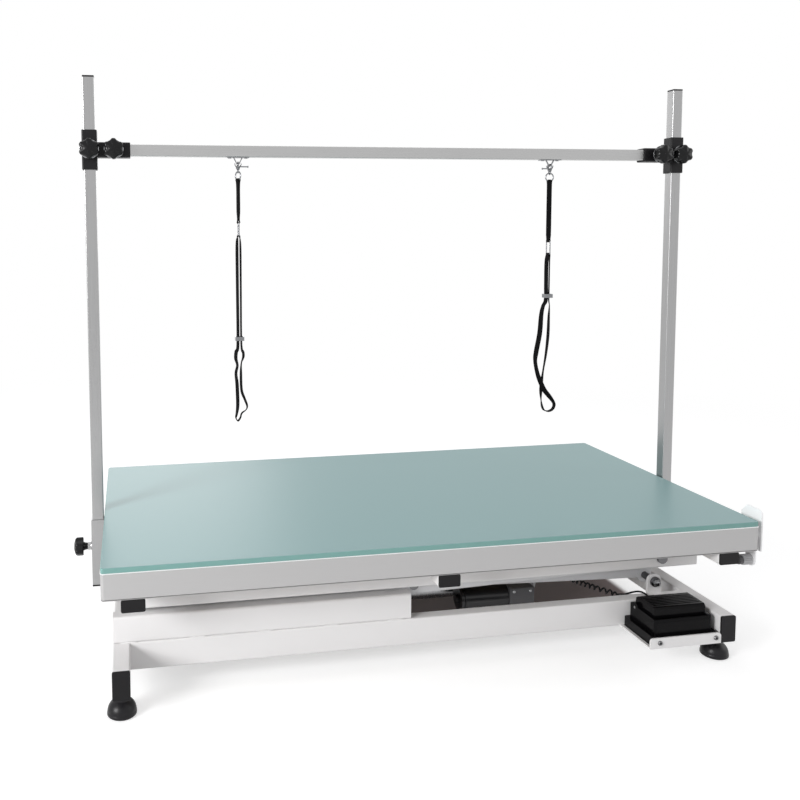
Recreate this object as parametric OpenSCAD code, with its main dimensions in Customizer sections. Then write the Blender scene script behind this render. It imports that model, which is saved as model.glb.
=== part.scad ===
// Low electric scissor-lift dog grooming table with an overhead arm and two nooses.
// X runs from left to right, Y from front to back and Z up from the floor.
// The origin is on the floor under the middle of the table top. Table at its lowest.

/* [Table top] */
// Length of the table top, left to right
top_len = 1200; // [1160:5:1240]
// Depth of the table top, front to back
top_depth = 600; // [560:5:660]
// Thickness of the glass plate
glass_t = 9; // [6:0.5:12]
// Height of the bright lip along the top of the edge rails
lip_t = 2.5; // [2:0.5:4]
// Height of the aluminium edge rails
edge_h = 44.5; // [38:0.5:52]
// Width of the aluminium edge rails
edge_w = 20; // [16:1:26]
// Thickness of the core board that carries the glass
board_t = 18; // [15:1:24]
// Plan radius of the table corners
corner_r = 6; // [4:1:12]
// Width of the cross tubes under the table top
tube_w = 40; // [30:1:50]
// Height of the cross tubes under the table top
tube_h = 24; // [20:1:30]
// Inset of the outer cross tubes' middle from the ends of the table top
tube_inset = 56; // [46:1:66]
// Height of the upper channel rails
rail_h = 39; // [38:1:46]

/* [Base frame] */
// Length of the base frame, left to right
base_len = 1143; // [1120:1:1160]
// Shift of the base frame's middle from the table's middle
base_shift = -13.5; // [-20:0.5:-8]
// Width of the base cross beams
beam_w = 30; // [25:1:40]
// Height of the base beams
beam_h = 50; // [40:1:60]
// Width of the long base rails and of the channels on them
rail_w = 25; // [24:1:30]
// Setback of the long rails from the ends of the cross beams
rail_setback = 96; // [90:1:110]
// Wall of the base tubes
tube_wall = 2; // [1.5:0.5:3]
// Height of the rubber feet
foot_h = 42; // [34:1:60]
// Widest diameter of the rubber feet
foot_d = 50; // [44:1:62]
// Height of the lower roller channels
track_h = 48; // [46:1:54]
// Wall of the channels
channel_wall = 3; // [2:0.5:4]
// Length of the lower roller channels
track_len = 544; // [500:2:560]

/* [Scissor lift] */
// Distance between the two end pivots of an arm
arm_len = 990; // [970:2:1000]
// Height of the arm tubes
arm_h = 38; // [32:1:40]
// Width of the arm tubes
arm_w = 20; // [16:1:22]
// Wall of the arm tubes
arm_wall = 2.5; // [2:0.5:3.5]
// Gap between the long rails and the outer arms
rail_gap = 5; // [4.5:0.5:8]
// Gap between the outer and the inner arms
arm_gap = 3; // [2:0.5:6]
// Height of the upper pivots over the lower ones at rest
pivot_rise = 55; // [50:1:60]
// Distance of the arm tube's middle line from its end pivots
lug_drop = 12; // [8:0.5:14]
// Inset of the fixed pivots from the right end of the base
pivot_inset = 89; // [80:1:100]
// Diameter of the pivot rods and roller axles
rod_d = 14; // [12:1:16]
// Diameter of the crossing bolts
cross_bolt_d = 12; // [10:1:14]
// Distance of the drive pins from the crossing, along the arm
drive_u = 318; // [300:2:330]
// Distance of the drive pins below the arm's pivot line
drive_w = 72; // [66:1:78]
// Diameter of the drive pins
drive_pin_d = 12; // [10:1:14]
// Outer diameter of the actuator tube
actuator_d = 40; // [34:1:46]
// Diameter of the actuator rod
actuator_rod_d = 24; // [18:1:28]
// Length of the actuator between its pins when the table is at its highest
actuator_short = 402; // [396:1:410]
// Diameter of the drive motor
motor_d = 52; // [44:1:60]
// Length of the drive motor
motor_len = 108; // [90:1:130]

/* [Overhead arm] */
// Side of the square upright and crossbar tubes
post_s = 22; // [19:1:25]
// Wall of the upright and crossbar tubes
post_wall = 1.5; // [1:0.5:2.5]
// Height of the top of the uprights over the floor
post_top = 1107; // [1060:1:1180]
// Height of the crossbar's middle over the floor
bar_z = 968; // [900:1:1030]
// Wall of the sockets
socket_wall = 2; // [1.5:0.5:3]
// Length of the sockets
socket_len = 130; // [110:5:150]
// Distance of the sockets' upper ends below the glass
socket_drop = 17; // [12:1:30]
// Wall of the clamp sleeves
clamp_wall = 3; // [2:0.5:4]
// Length of the clamps' upright sleeves
clamp_h = 75; // [60:1:90]
// Length of the clamps' crossbar sleeves
clamp_len = 62; // [55:1:80]
// Diameter of the star knobs
knob_d = 36; // [30:1:38]

/* [Nooses] */
// Distance of each noose from the middle of the crossbar
noose_x = 329; // [250:1:400]
// Width of the noose webbing
web_w = 10; // [8:0.5:12]
// Thickness of the noose webbing
web_t = 2; // [1.5:0.25:2.5]

/* [Foot switch] */
// Width of the tray, left to right
tray_w = 144; // [138:1:160]
// Height of the tray's front lip
lip_h = 20; // [14:1:24]
// Thickness of the tray's sheet
tray_t = 3; // [2:0.5:4]
// Diameter of the foot switch's cord
cord_d = 3.6; // [3:0.2:4.4]

/* [Side bracket] */
// Height of the side bracket over the glass
bracket_up = 17; // [10:1:30]
// Width of the side bracket, front to back
bracket_w = 52; // [44:1:60]
// Distance of the side bracket's plate from the table's side
bracket_off = 12; // [8:1:20]

/* [Hidden] */
$fn = 48;
// Outside corner radius of the frame's tubes, and of the finer uprights and crossbar
tube_r = 2.5;
post_r = 1.5;
// Clearance of a running fit, on the radius
run_gap = 0.05;
// Clearance of a sliding fit, on each side
slide_gap = 0.3;
// Clearance between a roller and each flange of its channel
roll_gap = 0.3;

// Levels
z_base0 = foot_h;
z_base1 = foot_h + beam_h;
z_low = z_base1 + track_h / 2;
z_mid = z_low + pivot_rise / 2;
z_high = z_low + pivot_rise;
z_rail0 = z_high - rail_h / 2;
z_rail1 = z_high + rail_h / 2;
z_edge0 = z_rail1 + tube_h;
z_edge1 = z_edge0 + edge_h;
z_top = z_edge1 + glass_t;

// Base frame in plan
base_x0 = base_shift - base_len / 2;
base_x1 = base_shift + base_len / 2;
base_y0 = top_depth / 2;
cap_t = 4;
cap_reach = 14;
cap_gap = 0.2;
rail_y1 = base_y0 - rail_setback;
rail_y0 = rail_y1 - rail_w;
track_x0 = base_x0 + 1;
foot_inset = 36;

// Scissor geometry
pivot_x = base_x1 - pivot_inset;
rest_deg = asin(pivot_rise / arm_len);
tilt_deg = asin(lug_drop / (arm_len / 2));
cross_x = pivot_x - arm_len / 2 * cos(rest_deg);
roller_x = pivot_x - arm_len * cos(rest_deg);
outer_y1 = rail_y0 - rail_gap;
outer_y0 = outer_y1 - arm_w;
inner_y1 = outer_y0 - arm_gap;
inner_y0 = inner_y1 - arm_w;
boss_r = rod_d / 2 + 8;
arm_end = 16;
roller_w = 17;
roller_y0 = rail_y0 + 3;
track_roller_r = track_h / 2 - channel_wall - roll_gap;
rail_roller_r = rail_h / 2 - channel_wall - roll_gap;
inner_cross_d = 28;
outer_cross_d = 26;
inner_cross_drop = -4;
outer_cross_drop = arm_h / 2 - lug_drop * drive_u / (arm_len / 2) - 1.5;
drive_lug_t = 6;
drive_lug_gap = 24;
drive_lug_r = 16;

// Actuator
drive_x = cross_x + drive_u * cos(rest_deg) - drive_w * sin(rest_deg);
drive_z = z_mid - drive_u * sin(rest_deg) - drive_w * cos(rest_deg);
pull_x = 2 * cross_x - drive_x;
gear_len = 53;
gear_x1 = drive_x - drive_lug_r - 6;
gear_x0 = gear_x1 - gear_len;
motor_side_gap = 12;
motor_y = -(actuator_d / 2 + motor_d / 2 + motor_side_gap);
sleeve_gap = 34;
sleeve_x0 = drive_x - actuator_short + sleeve_gap;
seal_len = 14;
rod_fork_len = 26;
bore_end = 3;
rod_end_gap = 2;
rod_x1 = pull_x + actuator_short - (drive_x - gear_x0) - bore_end - rod_end_gap;

// Table top in plan
frame_shift = -4;
tube_x = top_len / 2 - tube_inset;
tube_cap_t = 3;
upper_rail_x0 = frame_shift - tube_x - 6;
upper_rail_x1 = frame_shift + tube_x + 6;

// Overhead arm
socket_s = post_s + 2 * (slide_gap + socket_wall);
post_x = top_len / 2 + socket_s / 2;
socket_z1 = z_top - socket_drop;
socket_z0 = socket_z1 - socket_len;
socket_knob_z = z_top - 72;
clamp_s = post_s + 2 * (slide_gap + clamp_wall);
clamp_x0 = post_x - clamp_s / 2 - clamp_len;
clamp_r = 3;
bar_half = post_x - clamp_s / 2;
socket_plug_len = 12;
post_z0 = socket_z0 + socket_plug_len + slide_gap;
stud_d = 8;
knob_t = 14;
knob_neck = 8;
hub_d = 16;

// Foot switch
tray_x1 = base_x1 - beam_w;
tray_x0 = tray_x1 - tray_w;
tray_y0 = -base_y0;
tray_y1 = -rail_y1;
tray_z1 = z_base0 + tray_t;
switch_x0 = tray_x0 + 6;
switch_x1 = tray_x1 - 6;
switch_y0 = tray_y0 + tray_t + 1;
switch_y1 = tray_y1 - 2;
treadle_x0 = switch_x0 + 9;
treadle_x1 = switch_x1 - 6;
treadle_pin_y = switch_y1 - 22;
treadle_pin_z = tray_z1 + 44;
treadle_pin_d = 5;
flange_h = 18;
body_h = 46;
body_wall = 5;
body_floor = 30;
body_z1 = tray_z1 + body_h;
treadle_z1 = tray_z1 + 64;
treadle_len = 50;
treadle_side = 0.9;
entry_x = switch_x0 + 56;
entry_half = 8;

// Nooses: levels under the crossbar
bar_under = bar_z - post_s / 2;
eye_z = bar_under - 13;
eye_wire = 2.4;
eye_r = 3.7;
hook_wire = 3;
hook_r = 6;
hook_z = eye_z + eye_wire * sqrt(0.5) + slide_gap + hook_wire / 2 - hook_r;
swivel_r = 3.5;
swivel_z = hook_z - hook_r - 5.5;
ring_r = 8.5;
ring_wire = 2.6;
ring_top_z = swivel_z - swivel_r + 1.2 + ring_wire / 2 + slide_gap;
ring_z = ring_top_z - ring_r;
link_h = 28;
link_w = 15;
link_wire = 2.2;
left_link_drop = 127;
right_link_drop = 169;
left_slider_drop = 362;
right_slider_drop = 289;
left_link_z = bar_under - left_link_drop;
right_link_z = bar_under - right_link_drop;
left_slider_z = bar_under - left_slider_drop;
right_slider_z = bar_under - right_slider_drop;
strap_turns = [70, 20];
strap_twist_at = [8, 22];
strap_untwist_at = [24, 10];
slider_h = 8;
leg_off = 3.4;
leg_turn = 68;
// Webbing routes, as distance right of the noose's middle, forward, below the bar, and turn
left_loop = [[-2.2, 0, -156.5, 90], [-leg_off, 0, -175, leg_turn], [-leg_off, 0, -260, leg_turn],
    [-leg_off, 0, -368, leg_turn], [-7, 0, -384, 60], [-8, 0, -398, 60], [-5, 0, -412, 75],
    [-8, 0, -428, 70], [-6, 0, -450, 60], [-5, 0, -490, 60], [-7, 0, -508, 75], [-9, 0, -518, 88],
    [-5, 0, -524, 90], [0, 0, -518, 90], [3, 0, -509, 88], [12, 0, -502, 75], [14, 0, -494, 70],
    [9, 0, -480, 65], [3, 0, -462, 60], [2, 0, -430, 60], [3, 0, -408, 75], [7, 0, -396, 60],
    [7, 0, -386, 60], [leg_off, 0, -368, leg_turn], [leg_off, 0, -260, leg_turn],
    [leg_off, 0, -175, leg_turn], [2.2, 0, -156.5, 90]];
right_loop = [[-2.2, 0, -198.5, 90], [-leg_off, 0, -215, leg_turn], [-leg_off, 0, -260, leg_turn],
    [-leg_off, 0, -294, leg_turn], [-9, 0, -306, 75], [-13, 0, -325, 60], [-16, 0, -365, 35],
    [-23, 0, -403, 40], [-25, 0, -424, 70], [-20, -1, -450, 60], [-13, -3, -470, 30],
    [-5, -3.5, -486, 25], [5, -3, -498, 40], [16, -1, -511, 70], [20, 0, -520, 85], [16, 0, -529, 90],
    [6, 0, -533, 90], [-4, 0, -529, 90], [-8, 1, -518, 80], [-9, 3, -502, 50], [-9, 3.5, -486, 25],
    [-8, 3, -470, 30], [-6, 1, -445, 50], [-1, 0, -410, 40], [3, 0, -370, 30], [4, 0, -330, 40],
    [5, 0, -306, 60], [leg_off, 0, -294, leg_turn], [leg_off, 0, -260, leg_turn],
    [leg_off, 0, -215, leg_turn], [2.2, 0, -198.5, 90]];

// Curly cord between the control box and the foot switch
box_len = 104;
box_depth = 78;
box_pivot_gap = 65;
box_x1 = pivot_x - box_pivot_gap;
box_x0 = box_x1 - box_len;
box_y0 = rail_y0 - box_depth;
box_z1 = z_base1 + 8;
gland_x = (box_x0 + box_x1) / 2;
gland_z = z_base1 - 3;
gland_len = 8;
curls = 26;
curl_r = 4.2;
curl_axis = [[352, 86, 89], [350, 42, 86], [349, -3, 84], [350, -48, 85], [354, -92, 87],
    [374, -128, 87], [404, -163, 85]];
cord_over = z_base1 + cord_d / 2 + slide_gap;
cord_tail = [[411, -170, 87], [418, -173, 90], [428, -175, 93], [437, -177, 94.6],
    [443, -181, 95], [446, -188, 94.5], [446, -196, cord_over], [446, -201, cord_over]];

// A copy in front and its mirror image behind
module front_and_rear() {
    children();
    mirror([0, 1, 0]) children();
}

// A copy on the right and its mirror image on the left
module both_ends() {
    children();
    mirror([1, 0, 0]) children();
}

// A block given by its lowest and highest corners
module block(low, high) {
    translate(low) cube(high - low);
}

// A round bar along Y from y0 to y1
module bar_y(x, z, y0, y1, d) {
    translate([x, y0, z]) rotate([-90, 0, 0]) cylinder(d = d, h = y1 - y0);
}

// A rectangle with round corners, given by its lowest and highest corners
module round_rect(low, high, r) {
    translate(low + [r, 0]) square([high.x - low.x - 2 * r, high.y - low.y]);
    translate(low + [0, r]) square([high.x - low.x, high.y - low.y - 2 * r]);
    for (x = [low.x + r, high.x - r], y = [low.y + r, high.y - r]) translate([x, y]) circle(r = r);
}

// A box section's outline with its hollow: the outside corners are rounded, the inside ones are square
module box_section(low, high, wall, r = tube_r) {
    difference() {
        round_rect(low, high, r);
        translate(low + [wall, wall]) square(high - low - 2 * [wall, wall]);
    }
}

// A hollow box section along X, open at both ends
module tube_along_x(x0, x1, y0, y1, z0, z1, wall, r = tube_r) {
    translate([x0, 0, 0]) rotate([90, 0, 90]) linear_extrude(x1 - x0)
        box_section([y0, z0], [y1, z1], wall, r);
}

// A hollow box section along Y, open at both ends
module tube_along_y(x0, x1, y0, y1, z0, z1, wall) {
    translate([0, y1, 0]) rotate([90, 0, 0]) linear_extrude(y1 - y0) box_section([x0, z0], [x1, z1], wall);
}

// A hollow square post along Z about the origin of X and Y
module post_tube(side, z0, z1, wall) {
    translate([0, 0, z0]) linear_extrude(z1 - z0)
        box_section([-side / 2, -side / 2], [side / 2, side / 2], wall, post_r);
}

// A channel along X, open towards the back, with its web in front
module channel_along_x(x0, x1, z0, z1) {
    difference() {
        block([x0, -rail_y1, z0], [x1, -rail_y0, z1]);
        block([x0 - 1, -rail_y1 + channel_wall, z0 + channel_wall],
            [x1 + 1, -rail_y0 + 1, z1 - channel_wall]);
    }
}

// A black plug in the front end of a section that runs along Y
module end_plug(x0, x1, z0, z1, wall, head_t) {
    fit = wall + cap_gap;
    translate([0, -base_y0 + head_t, 0]) rotate([90, 0, 0]) linear_extrude(head_t)
        round_rect([x0, z0], [x1, z1], tube_r);
    block([x0 + fit, -base_y0 + head_t, z0 + fit], [x1 - fit, -base_y0 + head_t + cap_reach, z1 - fit]);
}

// Base frame: two cross beams, two long rails, their plugs, feet and foot bolts
module base_cross_beams() {
    bolt_hole = 8.6;
    color("whitesmoke") for (x0 = [base_x0, base_x1 - beam_w]) difference() {
        tube_along_y(x0, x0 + beam_w, -base_y0 + cap_t, base_y0 - cap_t, z_base0, z_base1, tube_wall);
        for (y = [-1, 1]) translate([x0 + beam_w / 2, y * (base_y0 - foot_inset), z_base0 - 1])
            cylinder(d = bolt_hole, h = tube_wall + 2);
    }
}

module base_long_rails() {
    color("whitesmoke") front_and_rear()
        tube_along_x(base_x0 + beam_w, base_x1 - beam_w, -rail_y1, -rail_y0, z_base0, z_base1, tube_wall);
}

module base_caps() {
    color("black") front_and_rear() for (x0 = [base_x0, base_x1 - beam_w])
        end_plug(x0, x0 + beam_w, z_base0, z_base1, tube_wall, cap_t);
}

// Places of the four feet
module at_feet() {
    for (x = [base_x0 + beam_w / 2, base_x1 - beam_w / 2], y = [-1, 1])
        translate([x, y * (base_y0 - foot_inset), 0]) children();
}

module rubber_feet() {
    r = foot_d / 2;
    neck = beam_w / 2;
    edge = 4;
    bolt_r = 4.3;
    head_r = 8;
    head_z = 14;
    dome_z = edge + 2;
    dome_h = foot_h - dome_z - 6;
    dome = [for (a = [0:11.25:78.75]) [neck + (r - neck) * cos(a), dome_z + dome_h * sin(a)]];
    color("dimgray") at_feet() rotate_extrude() difference() {
        union() {
            polygon([[0, 0], [r - edge, 0], [r, edge], each dome, [neck, foot_h - 4], [neck, foot_h],
                [0, foot_h]]);
            translate([r - edge, edge]) circle(r = edge);
        }
        polygon([[0, -1], [head_r, -1], [head_r, head_z], [bolt_r, head_z], [bolt_r, foot_h + 1],
            [0, foot_h + 1]]);
        translate([-r, -r]) square([r, foot_h + 2 * r]);
    }
}

module foot_bolts() {
    head_z = 8;
    color("silver") at_feet() {
        translate([0, 0, head_z]) cylinder(d = 13, h = 6);
        translate([0, 0, head_z + 6]) cylinder(d = 8, h = foot_h + tube_wall - head_z + 4);
        translate([0, 0, foot_h + tube_wall]) cylinder(d = 14, h = 6.5, $fn = 6);
    }
}

// Lower roller channels, welded on the long rails
module track_front() {
    color("whitesmoke") channel_along_x(track_x0, track_x0 + track_len, z_base1, z_base1 + track_h);
}

module track_rear() {
    mirror([0, 1, 0]) track_front();
}

// Ears on the long rails that hold the lower pivot rod
module pivot_brackets() {
    half = 15;
    ear_t = 6;
    color("whitesmoke") front_and_rear() difference() {
        union() {
            bar_y(pivot_x, z_low, -rail_y0 - ear_t, -rail_y0, 2 * half);
            block([pivot_x - half, -rail_y0 - ear_t, z_base1], [pivot_x + half, -rail_y0, z_low]);
        }
        bar_y(pivot_x, z_low, -rail_y1, -rail_y0 + 1, rod_d + 2 * run_gap);
    }
}

// A rod across the table with a round head at each end
module headed_rod(x, z, reach, d, head_d, head_t) {
    bar_y(x, z, -reach, reach, d);
    front_and_rear() bar_y(x, z, -reach - head_t, -reach, head_d);
}

module lower_pivot_rod() {
    color("silver") headed_rod(pivot_x, z_low, rail_y0 + 6, rod_d, rod_d + 6, 4);
}

// One arm in its own frame: the crossing at the origin, its lower end at -X
module arm_blank(y0, y1) {
    half = arm_len / 2;
    bush_d = cross_bolt_d + 10;
    set_in = arm_wall / 4;
    difference() {
        union() {
            rotate([0, tilt_deg, 0])
                tube_along_x(-half - arm_end, half + arm_end, y0, y1, -arm_h / 2, arm_h / 2, arm_wall);
            for (x = [-half, half]) bar_y(x, 0, y0 + set_in, y1 - set_in, 2 * boss_r);
            bar_y(0, 0, y0 + set_in, y1 - set_in, bush_d);
        }
        for (x = [-half, half]) bar_y(x, 0, y0 - 1, y1 + 1, rod_d + 2 * run_gap);
        bar_y(0, 0, y0 - 1, y1 + 1, cross_bolt_d + 2 * run_gap);
    }
}

// Turns an arm's own frame into its place at rest
module outer_frame() {
    translate([cross_x, 0, z_mid]) rotate([0, -rest_deg, 0]) children();
}

module inner_frame() {
    translate([cross_x, 0, z_mid]) mirror([1, 0, 0]) rotate([0, -rest_deg, 0]) children();
}

// A pair of ears that hang from a cross tube and hold a drive pin
module drive_lugs(tube_drop, tube_d) {
    ear = tube_d / 2 + 7;
    front_and_rear() difference() {
        union() {
            bar_y(-drive_u, -tube_drop, -drive_lug_gap / 2 - drive_lug_t, -drive_lug_gap / 2, 2 * ear);
            bar_y(-drive_u, -drive_w, -drive_lug_gap / 2 - drive_lug_t, -drive_lug_gap / 2, 2 * drive_lug_r);
            translate([-drive_u, -drive_lug_gap / 2, 0]) rotate([90, 0, 0]) linear_extrude(drive_lug_t)
                polygon([[-ear, -tube_drop], [-drive_lug_r, -drive_w], [drive_lug_r, -drive_w],
                    [ear, -tube_drop]]);
        }
        bar_y(-drive_u, -drive_w, -drive_lug_gap, 0, drive_pin_d + 2 * run_gap);
    }
}

module inner_arms() {
    color("gainsboro") inner_frame() {
        arm_blank(-inner_y1, -inner_y0);
        arm_blank(inner_y0, inner_y1);
    }
}

module inner_cross_member() {
    color("gainsboro") inner_frame() {
        difference() {
            bar_y(-drive_u, -inner_cross_drop, -inner_y0, inner_y0, inner_cross_d);
            bar_y(-drive_u, -inner_cross_drop, -inner_y0 - 1, -drive_lug_gap, inner_cross_d - 5);
            bar_y(-drive_u, -inner_cross_drop, drive_lug_gap, inner_y0 + 1, inner_cross_d - 5);
        }
        drive_lugs(inner_cross_drop, inner_cross_d);
    }
}

// A drive pin with a head in front and a ring behind
module drive_pin() {
    reach = drive_lug_gap / 2 + drive_lug_t;
    bar_y(-drive_u, -drive_w, -reach, reach + 4, drive_pin_d);
    bar_y(-drive_u, -drive_w, -reach - 4, -reach, drive_pin_d + 6);
}

module inner_pins() {
    color("silver") inner_frame() {
        drive_pin();
        bar_y(arm_len / 2, 0, -roller_y0 - roller_w - 1, roller_y0 + roller_w + 1, rod_d);
    }
}

module outer_arms() {
    color("gainsboro") outer_frame() {
        arm_blank(-outer_y1, -outer_y0);
        arm_blank(outer_y0, outer_y1);
    }
}

module outer_cross_member() {
    color("gainsboro") outer_frame() {
        difference() {
            bar_y(-drive_u, -outer_cross_drop, -outer_y0, outer_y0, outer_cross_d);
            bar_y(-drive_u, -outer_cross_drop, -outer_y0 - 1, -drive_lug_gap, outer_cross_d - 5);
            bar_y(-drive_u, -outer_cross_drop, drive_lug_gap, outer_y0 + 1, outer_cross_d - 5);
        }
        drive_lugs(outer_cross_drop, outer_cross_d);
    }
}

module outer_pins() {
    color("silver") outer_frame() {
        drive_pin();
        bar_y(-arm_len / 2, 0, -roller_y0 - roller_w - 1, roller_y0 + roller_w + 1, rod_d);
    }
}

// Bolts with a head outside the outer arm and a nut inside the inner arm
module cross_bolts() {
    color("silver") front_and_rear() {
        bar_y(cross_x, z_mid, -outer_y1, -inner_y0 + 2, cross_bolt_d);
        bar_y(cross_x, z_mid, -outer_y1 - 4, -outer_y1, cross_bolt_d + 6);
        bar_y(cross_x, z_mid, -outer_y0, -inner_y1, cross_bolt_d + 8);
        translate([cross_x, -inner_y0, z_mid]) rotate([-90, 0, 0])
            cylinder(d = cross_bolt_d + 8, h = 9, $fn = 6);
    }
}

// A pair of rollers on one axle
module roller_pair(x, z, r) {
    groove = 0.8;
    front_and_rear() translate([x, -roller_y0 - roller_w, z]) rotate([-90, 0, 0]) rotate_extrude()
        polygon([[rod_d / 2 + run_gap, 0], [r - 2, 0], [r, 2], [r, roller_w - 2], [r - 2, roller_w],
            [r - 5, roller_w], [r - 6, roller_w - groove], [rod_d / 2 + 4, roller_w - groove],
            [rod_d / 2 + 3, roller_w], [rod_d / 2 + run_gap, roller_w]]);
}

module lower_rollers() {
    color("dimgray") roller_pair(roller_x, z_low, track_roller_r);
}

module upper_rollers() {
    color("dimgray") roller_pair(roller_x, z_high, rail_roller_r);
}

// Actuator: it stays level and pulls the two drive pins together
module gear_housing() {
    half_z = actuator_d / 2 + 8;
    tongue = drive_lug_gap / 2 - slide_gap;
    color("dimgray") difference() {
        union() {
            block([gear_x0, motor_y - motor_d / 2 - 3, drive_z - half_z + 3],
                [gear_x1, -actuator_d / 2, drive_z + half_z - 3]);
            block([gear_x0, -actuator_d / 2 - 4, drive_z - half_z],
                [gear_x1, actuator_d / 2 + 4, drive_z + half_z]);
            block([gear_x1 - 1, -tongue, drive_z - drive_lug_r + 2],
                [drive_x, tongue, drive_z + drive_lug_r - 2]);
            bar_y(drive_x, drive_z, -tongue, tongue, 2 * drive_lug_r - 4);
        }
        bar_y(drive_x, drive_z, -tongue - 1, tongue + 1, drive_pin_d + 2 * run_gap);
    }
}

module drive_motor() {
    color("black") translate([gear_x0, motor_y, drive_z]) rotate([0, -90, 0]) {
        cylinder(d = motor_d, h = motor_len - 14);
        translate([0, 0, motor_len - 14]) cylinder(d = motor_d - 4, h = 8);
        translate([0, 0, motor_len - 6]) cylinder(d = 18, h = 6);
    }
}

module actuator_tube() {
    seal_x = sleeve_x0 + seal_len;
    color("silver") difference() {
        union() {
            translate([seal_x, 0, drive_z]) rotate([0, 90, 0])
                cylinder(d = actuator_d, h = gear_x0 - seal_x);
            translate([sleeve_x0, 0, drive_z]) rotate([0, 90, 0]) cylinder(d = actuator_d + 4, h = seal_len);
        }
        translate([sleeve_x0 - 1, 0, drive_z]) rotate([0, 90, 0])
            cylinder(d = actuator_rod_d + 2 * run_gap, h = gear_x0 - bore_end - sleeve_x0 + 1);
    }
}

module actuator_rod() {
    tongue = drive_lug_gap / 2 - slide_gap;
    color("silver") difference() {
        union() {
            translate([pull_x + rod_fork_len - 2, 0, drive_z]) rotate([0, 90, 0])
                cylinder(d = actuator_rod_d, h = rod_x1 - pull_x - rod_fork_len + 2);
            block([pull_x, -tongue, drive_z - drive_lug_r + 4],
                [pull_x + rod_fork_len, tongue, drive_z + drive_lug_r - 4]);
            bar_y(pull_x, drive_z, -tongue, tongue, 2 * drive_lug_r - 8);
        }
        bar_y(pull_x, drive_z, -tongue - 1, tongue + 1, drive_pin_d + 2 * run_gap);
    }
}

// Table top frame: cross tubes, their plugs and the upper channel rails
module top_cross_tubes() {
    color("whitesmoke") for (i = [-1, 0, 1]) {
        x = frame_shift + i * tube_x;
        tube_along_y(x - tube_w / 2, x + tube_w / 2, -base_y0 + tube_cap_t, base_y0 - tube_cap_t,
            z_rail1, z_edge0, tube_wall);
    }
}

module top_caps() {
    color("black") {
        front_and_rear() for (i = [-1, 0, 1]) {
            x = frame_shift + i * tube_x;
            end_plug(x - tube_w / 2, x + tube_w / 2, z_rail1, z_edge0, tube_wall, tube_cap_t);
        }
        both_ends() translate([post_x, 0, 0]) {
            plug = socket_s / 2 - socket_wall - cap_gap;
            translate([0, 0, socket_z0 - 3]) linear_extrude(3)
                round_rect([-socket_s / 2, -socket_s / 2], [socket_s / 2, socket_s / 2], post_r);
            block([-plug, -plug, socket_z0], [plug, plug, socket_z0 + socket_plug_len]);
        }
    }
}

module upper_rail_front() {
    color("whitesmoke") difference() {
        channel_along_x(upper_rail_x0, upper_rail_x1, z_rail0, z_rail1);
        bar_y(pivot_x, z_high, -rail_y1 - 1, -rail_y0, rod_d + 2 * run_gap);
    }
}

module upper_rail_rear() {
    mirror([0, 1, 0]) upper_rail_front();
}

module upper_pivot_rod() {
    color("silver") headed_rod(pivot_x, z_high, rail_y1, rod_d, rod_d + 6, 5);
}

// Table board: aluminium edge rails, core board and frosted glass
module rounded_plan(half_x, half_y, r) {
    square([2 * (half_x - r), 2 * half_y], center = true);
    square([2 * half_x, 2 * (half_y - r)], center = true);
    for (x = [-1, 1], y = [-1, 1]) translate([x * (half_x - r), y * (half_y - r)]) circle(r = r);
}

module edge_rail_front() {
    web = 3;
    groove = 1.2;
    color("gainsboro") translate([0, 0, z_edge0]) difference() {
        linear_extrude(edge_h) intersection() {
            rounded_plan(top_len / 2, base_y0, corner_r);
            translate([-top_len / 2, -base_y0]) square([top_len, edge_w]);
        }
        translate([-top_len / 2 + edge_w, -base_y0 + web, web])
            cube([top_len - 2 * edge_w, edge_w, edge_h - board_t - 2 * web]);
        translate([-top_len, -base_y0 - 1, edge_h - lip_t - groove])
            cube([2 * top_len, 1 + groove / 2, groove]);
    }
}

module edge_rail_rear() {
    mirror([0, 1, 0]) edge_rail_front();
}

module edge_rails_side() {
    color("gainsboro") both_ends() translate([top_len / 2 - edge_w, 0, z_edge0]) difference() {
        block([0, -base_y0 + edge_w, 0], [edge_w, base_y0 - edge_w, edge_h]);
        block([-1, -base_y0 + edge_w + 6, 3], [edge_w - 3, base_y0 - edge_w - 6, edge_h - board_t - 3]);
    }
}

module core_board() {
    color("burlywood") block([-top_len / 2 + edge_w, -base_y0 + edge_w, z_edge1 - board_t],
        [top_len / 2 - edge_w, base_y0 - edge_w, z_edge1]);
}

module glass_top() {
    color("cadetblue") translate([0, 0, z_edge1]) linear_extrude(glass_t)
        rounded_plan(top_len / 2, base_y0, corner_r);
}

// Star knob: its stud along -Z from the origin, its six lobes at +Z
module star_knob(stud_len) {
    lobe_r = knob_d / 6;
    ring_r = knob_d / 2 - lobe_r;
    translate([0, 0, -stud_len]) cylinder(d = stud_d, h = stud_len + 1);
    cylinder(d1 = stud_d + 5, d2 = stud_d + 9, h = knob_neck, $fn = 32);
    translate([0, 0, knob_neck]) {
        linear_extrude(knob_t) {
            circle(r = ring_r + lobe_r / 2);
            for (a = [0:60:300]) rotate(a) translate([ring_r, 0]) circle(r = lobe_r);
        }
        translate([0, 0, knob_t]) cylinder(r1 = ring_r + 1, r2 = ring_r - 3, h = 2);
    }
}

// Sockets on the table's short sides, with a boss for the knob's stud
module sockets() {
    wide = socket_s / 2;
    color("silver") both_ends() translate([post_x, 0, 0]) difference() {
        union() {
            post_tube(socket_s, socket_z0, socket_z1, socket_wall);
            translate([wide, 0, socket_knob_z]) rotate([0, 90, 0]) cylinder(d = hub_d, h = knob_neck);
        }
        translate([wide - socket_wall - 1, 0, socket_knob_z]) rotate([0, 90, 0])
            cylinder(d = stud_d + 2 * run_gap, h = knob_neck + socket_wall + 2);
    }
}

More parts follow.
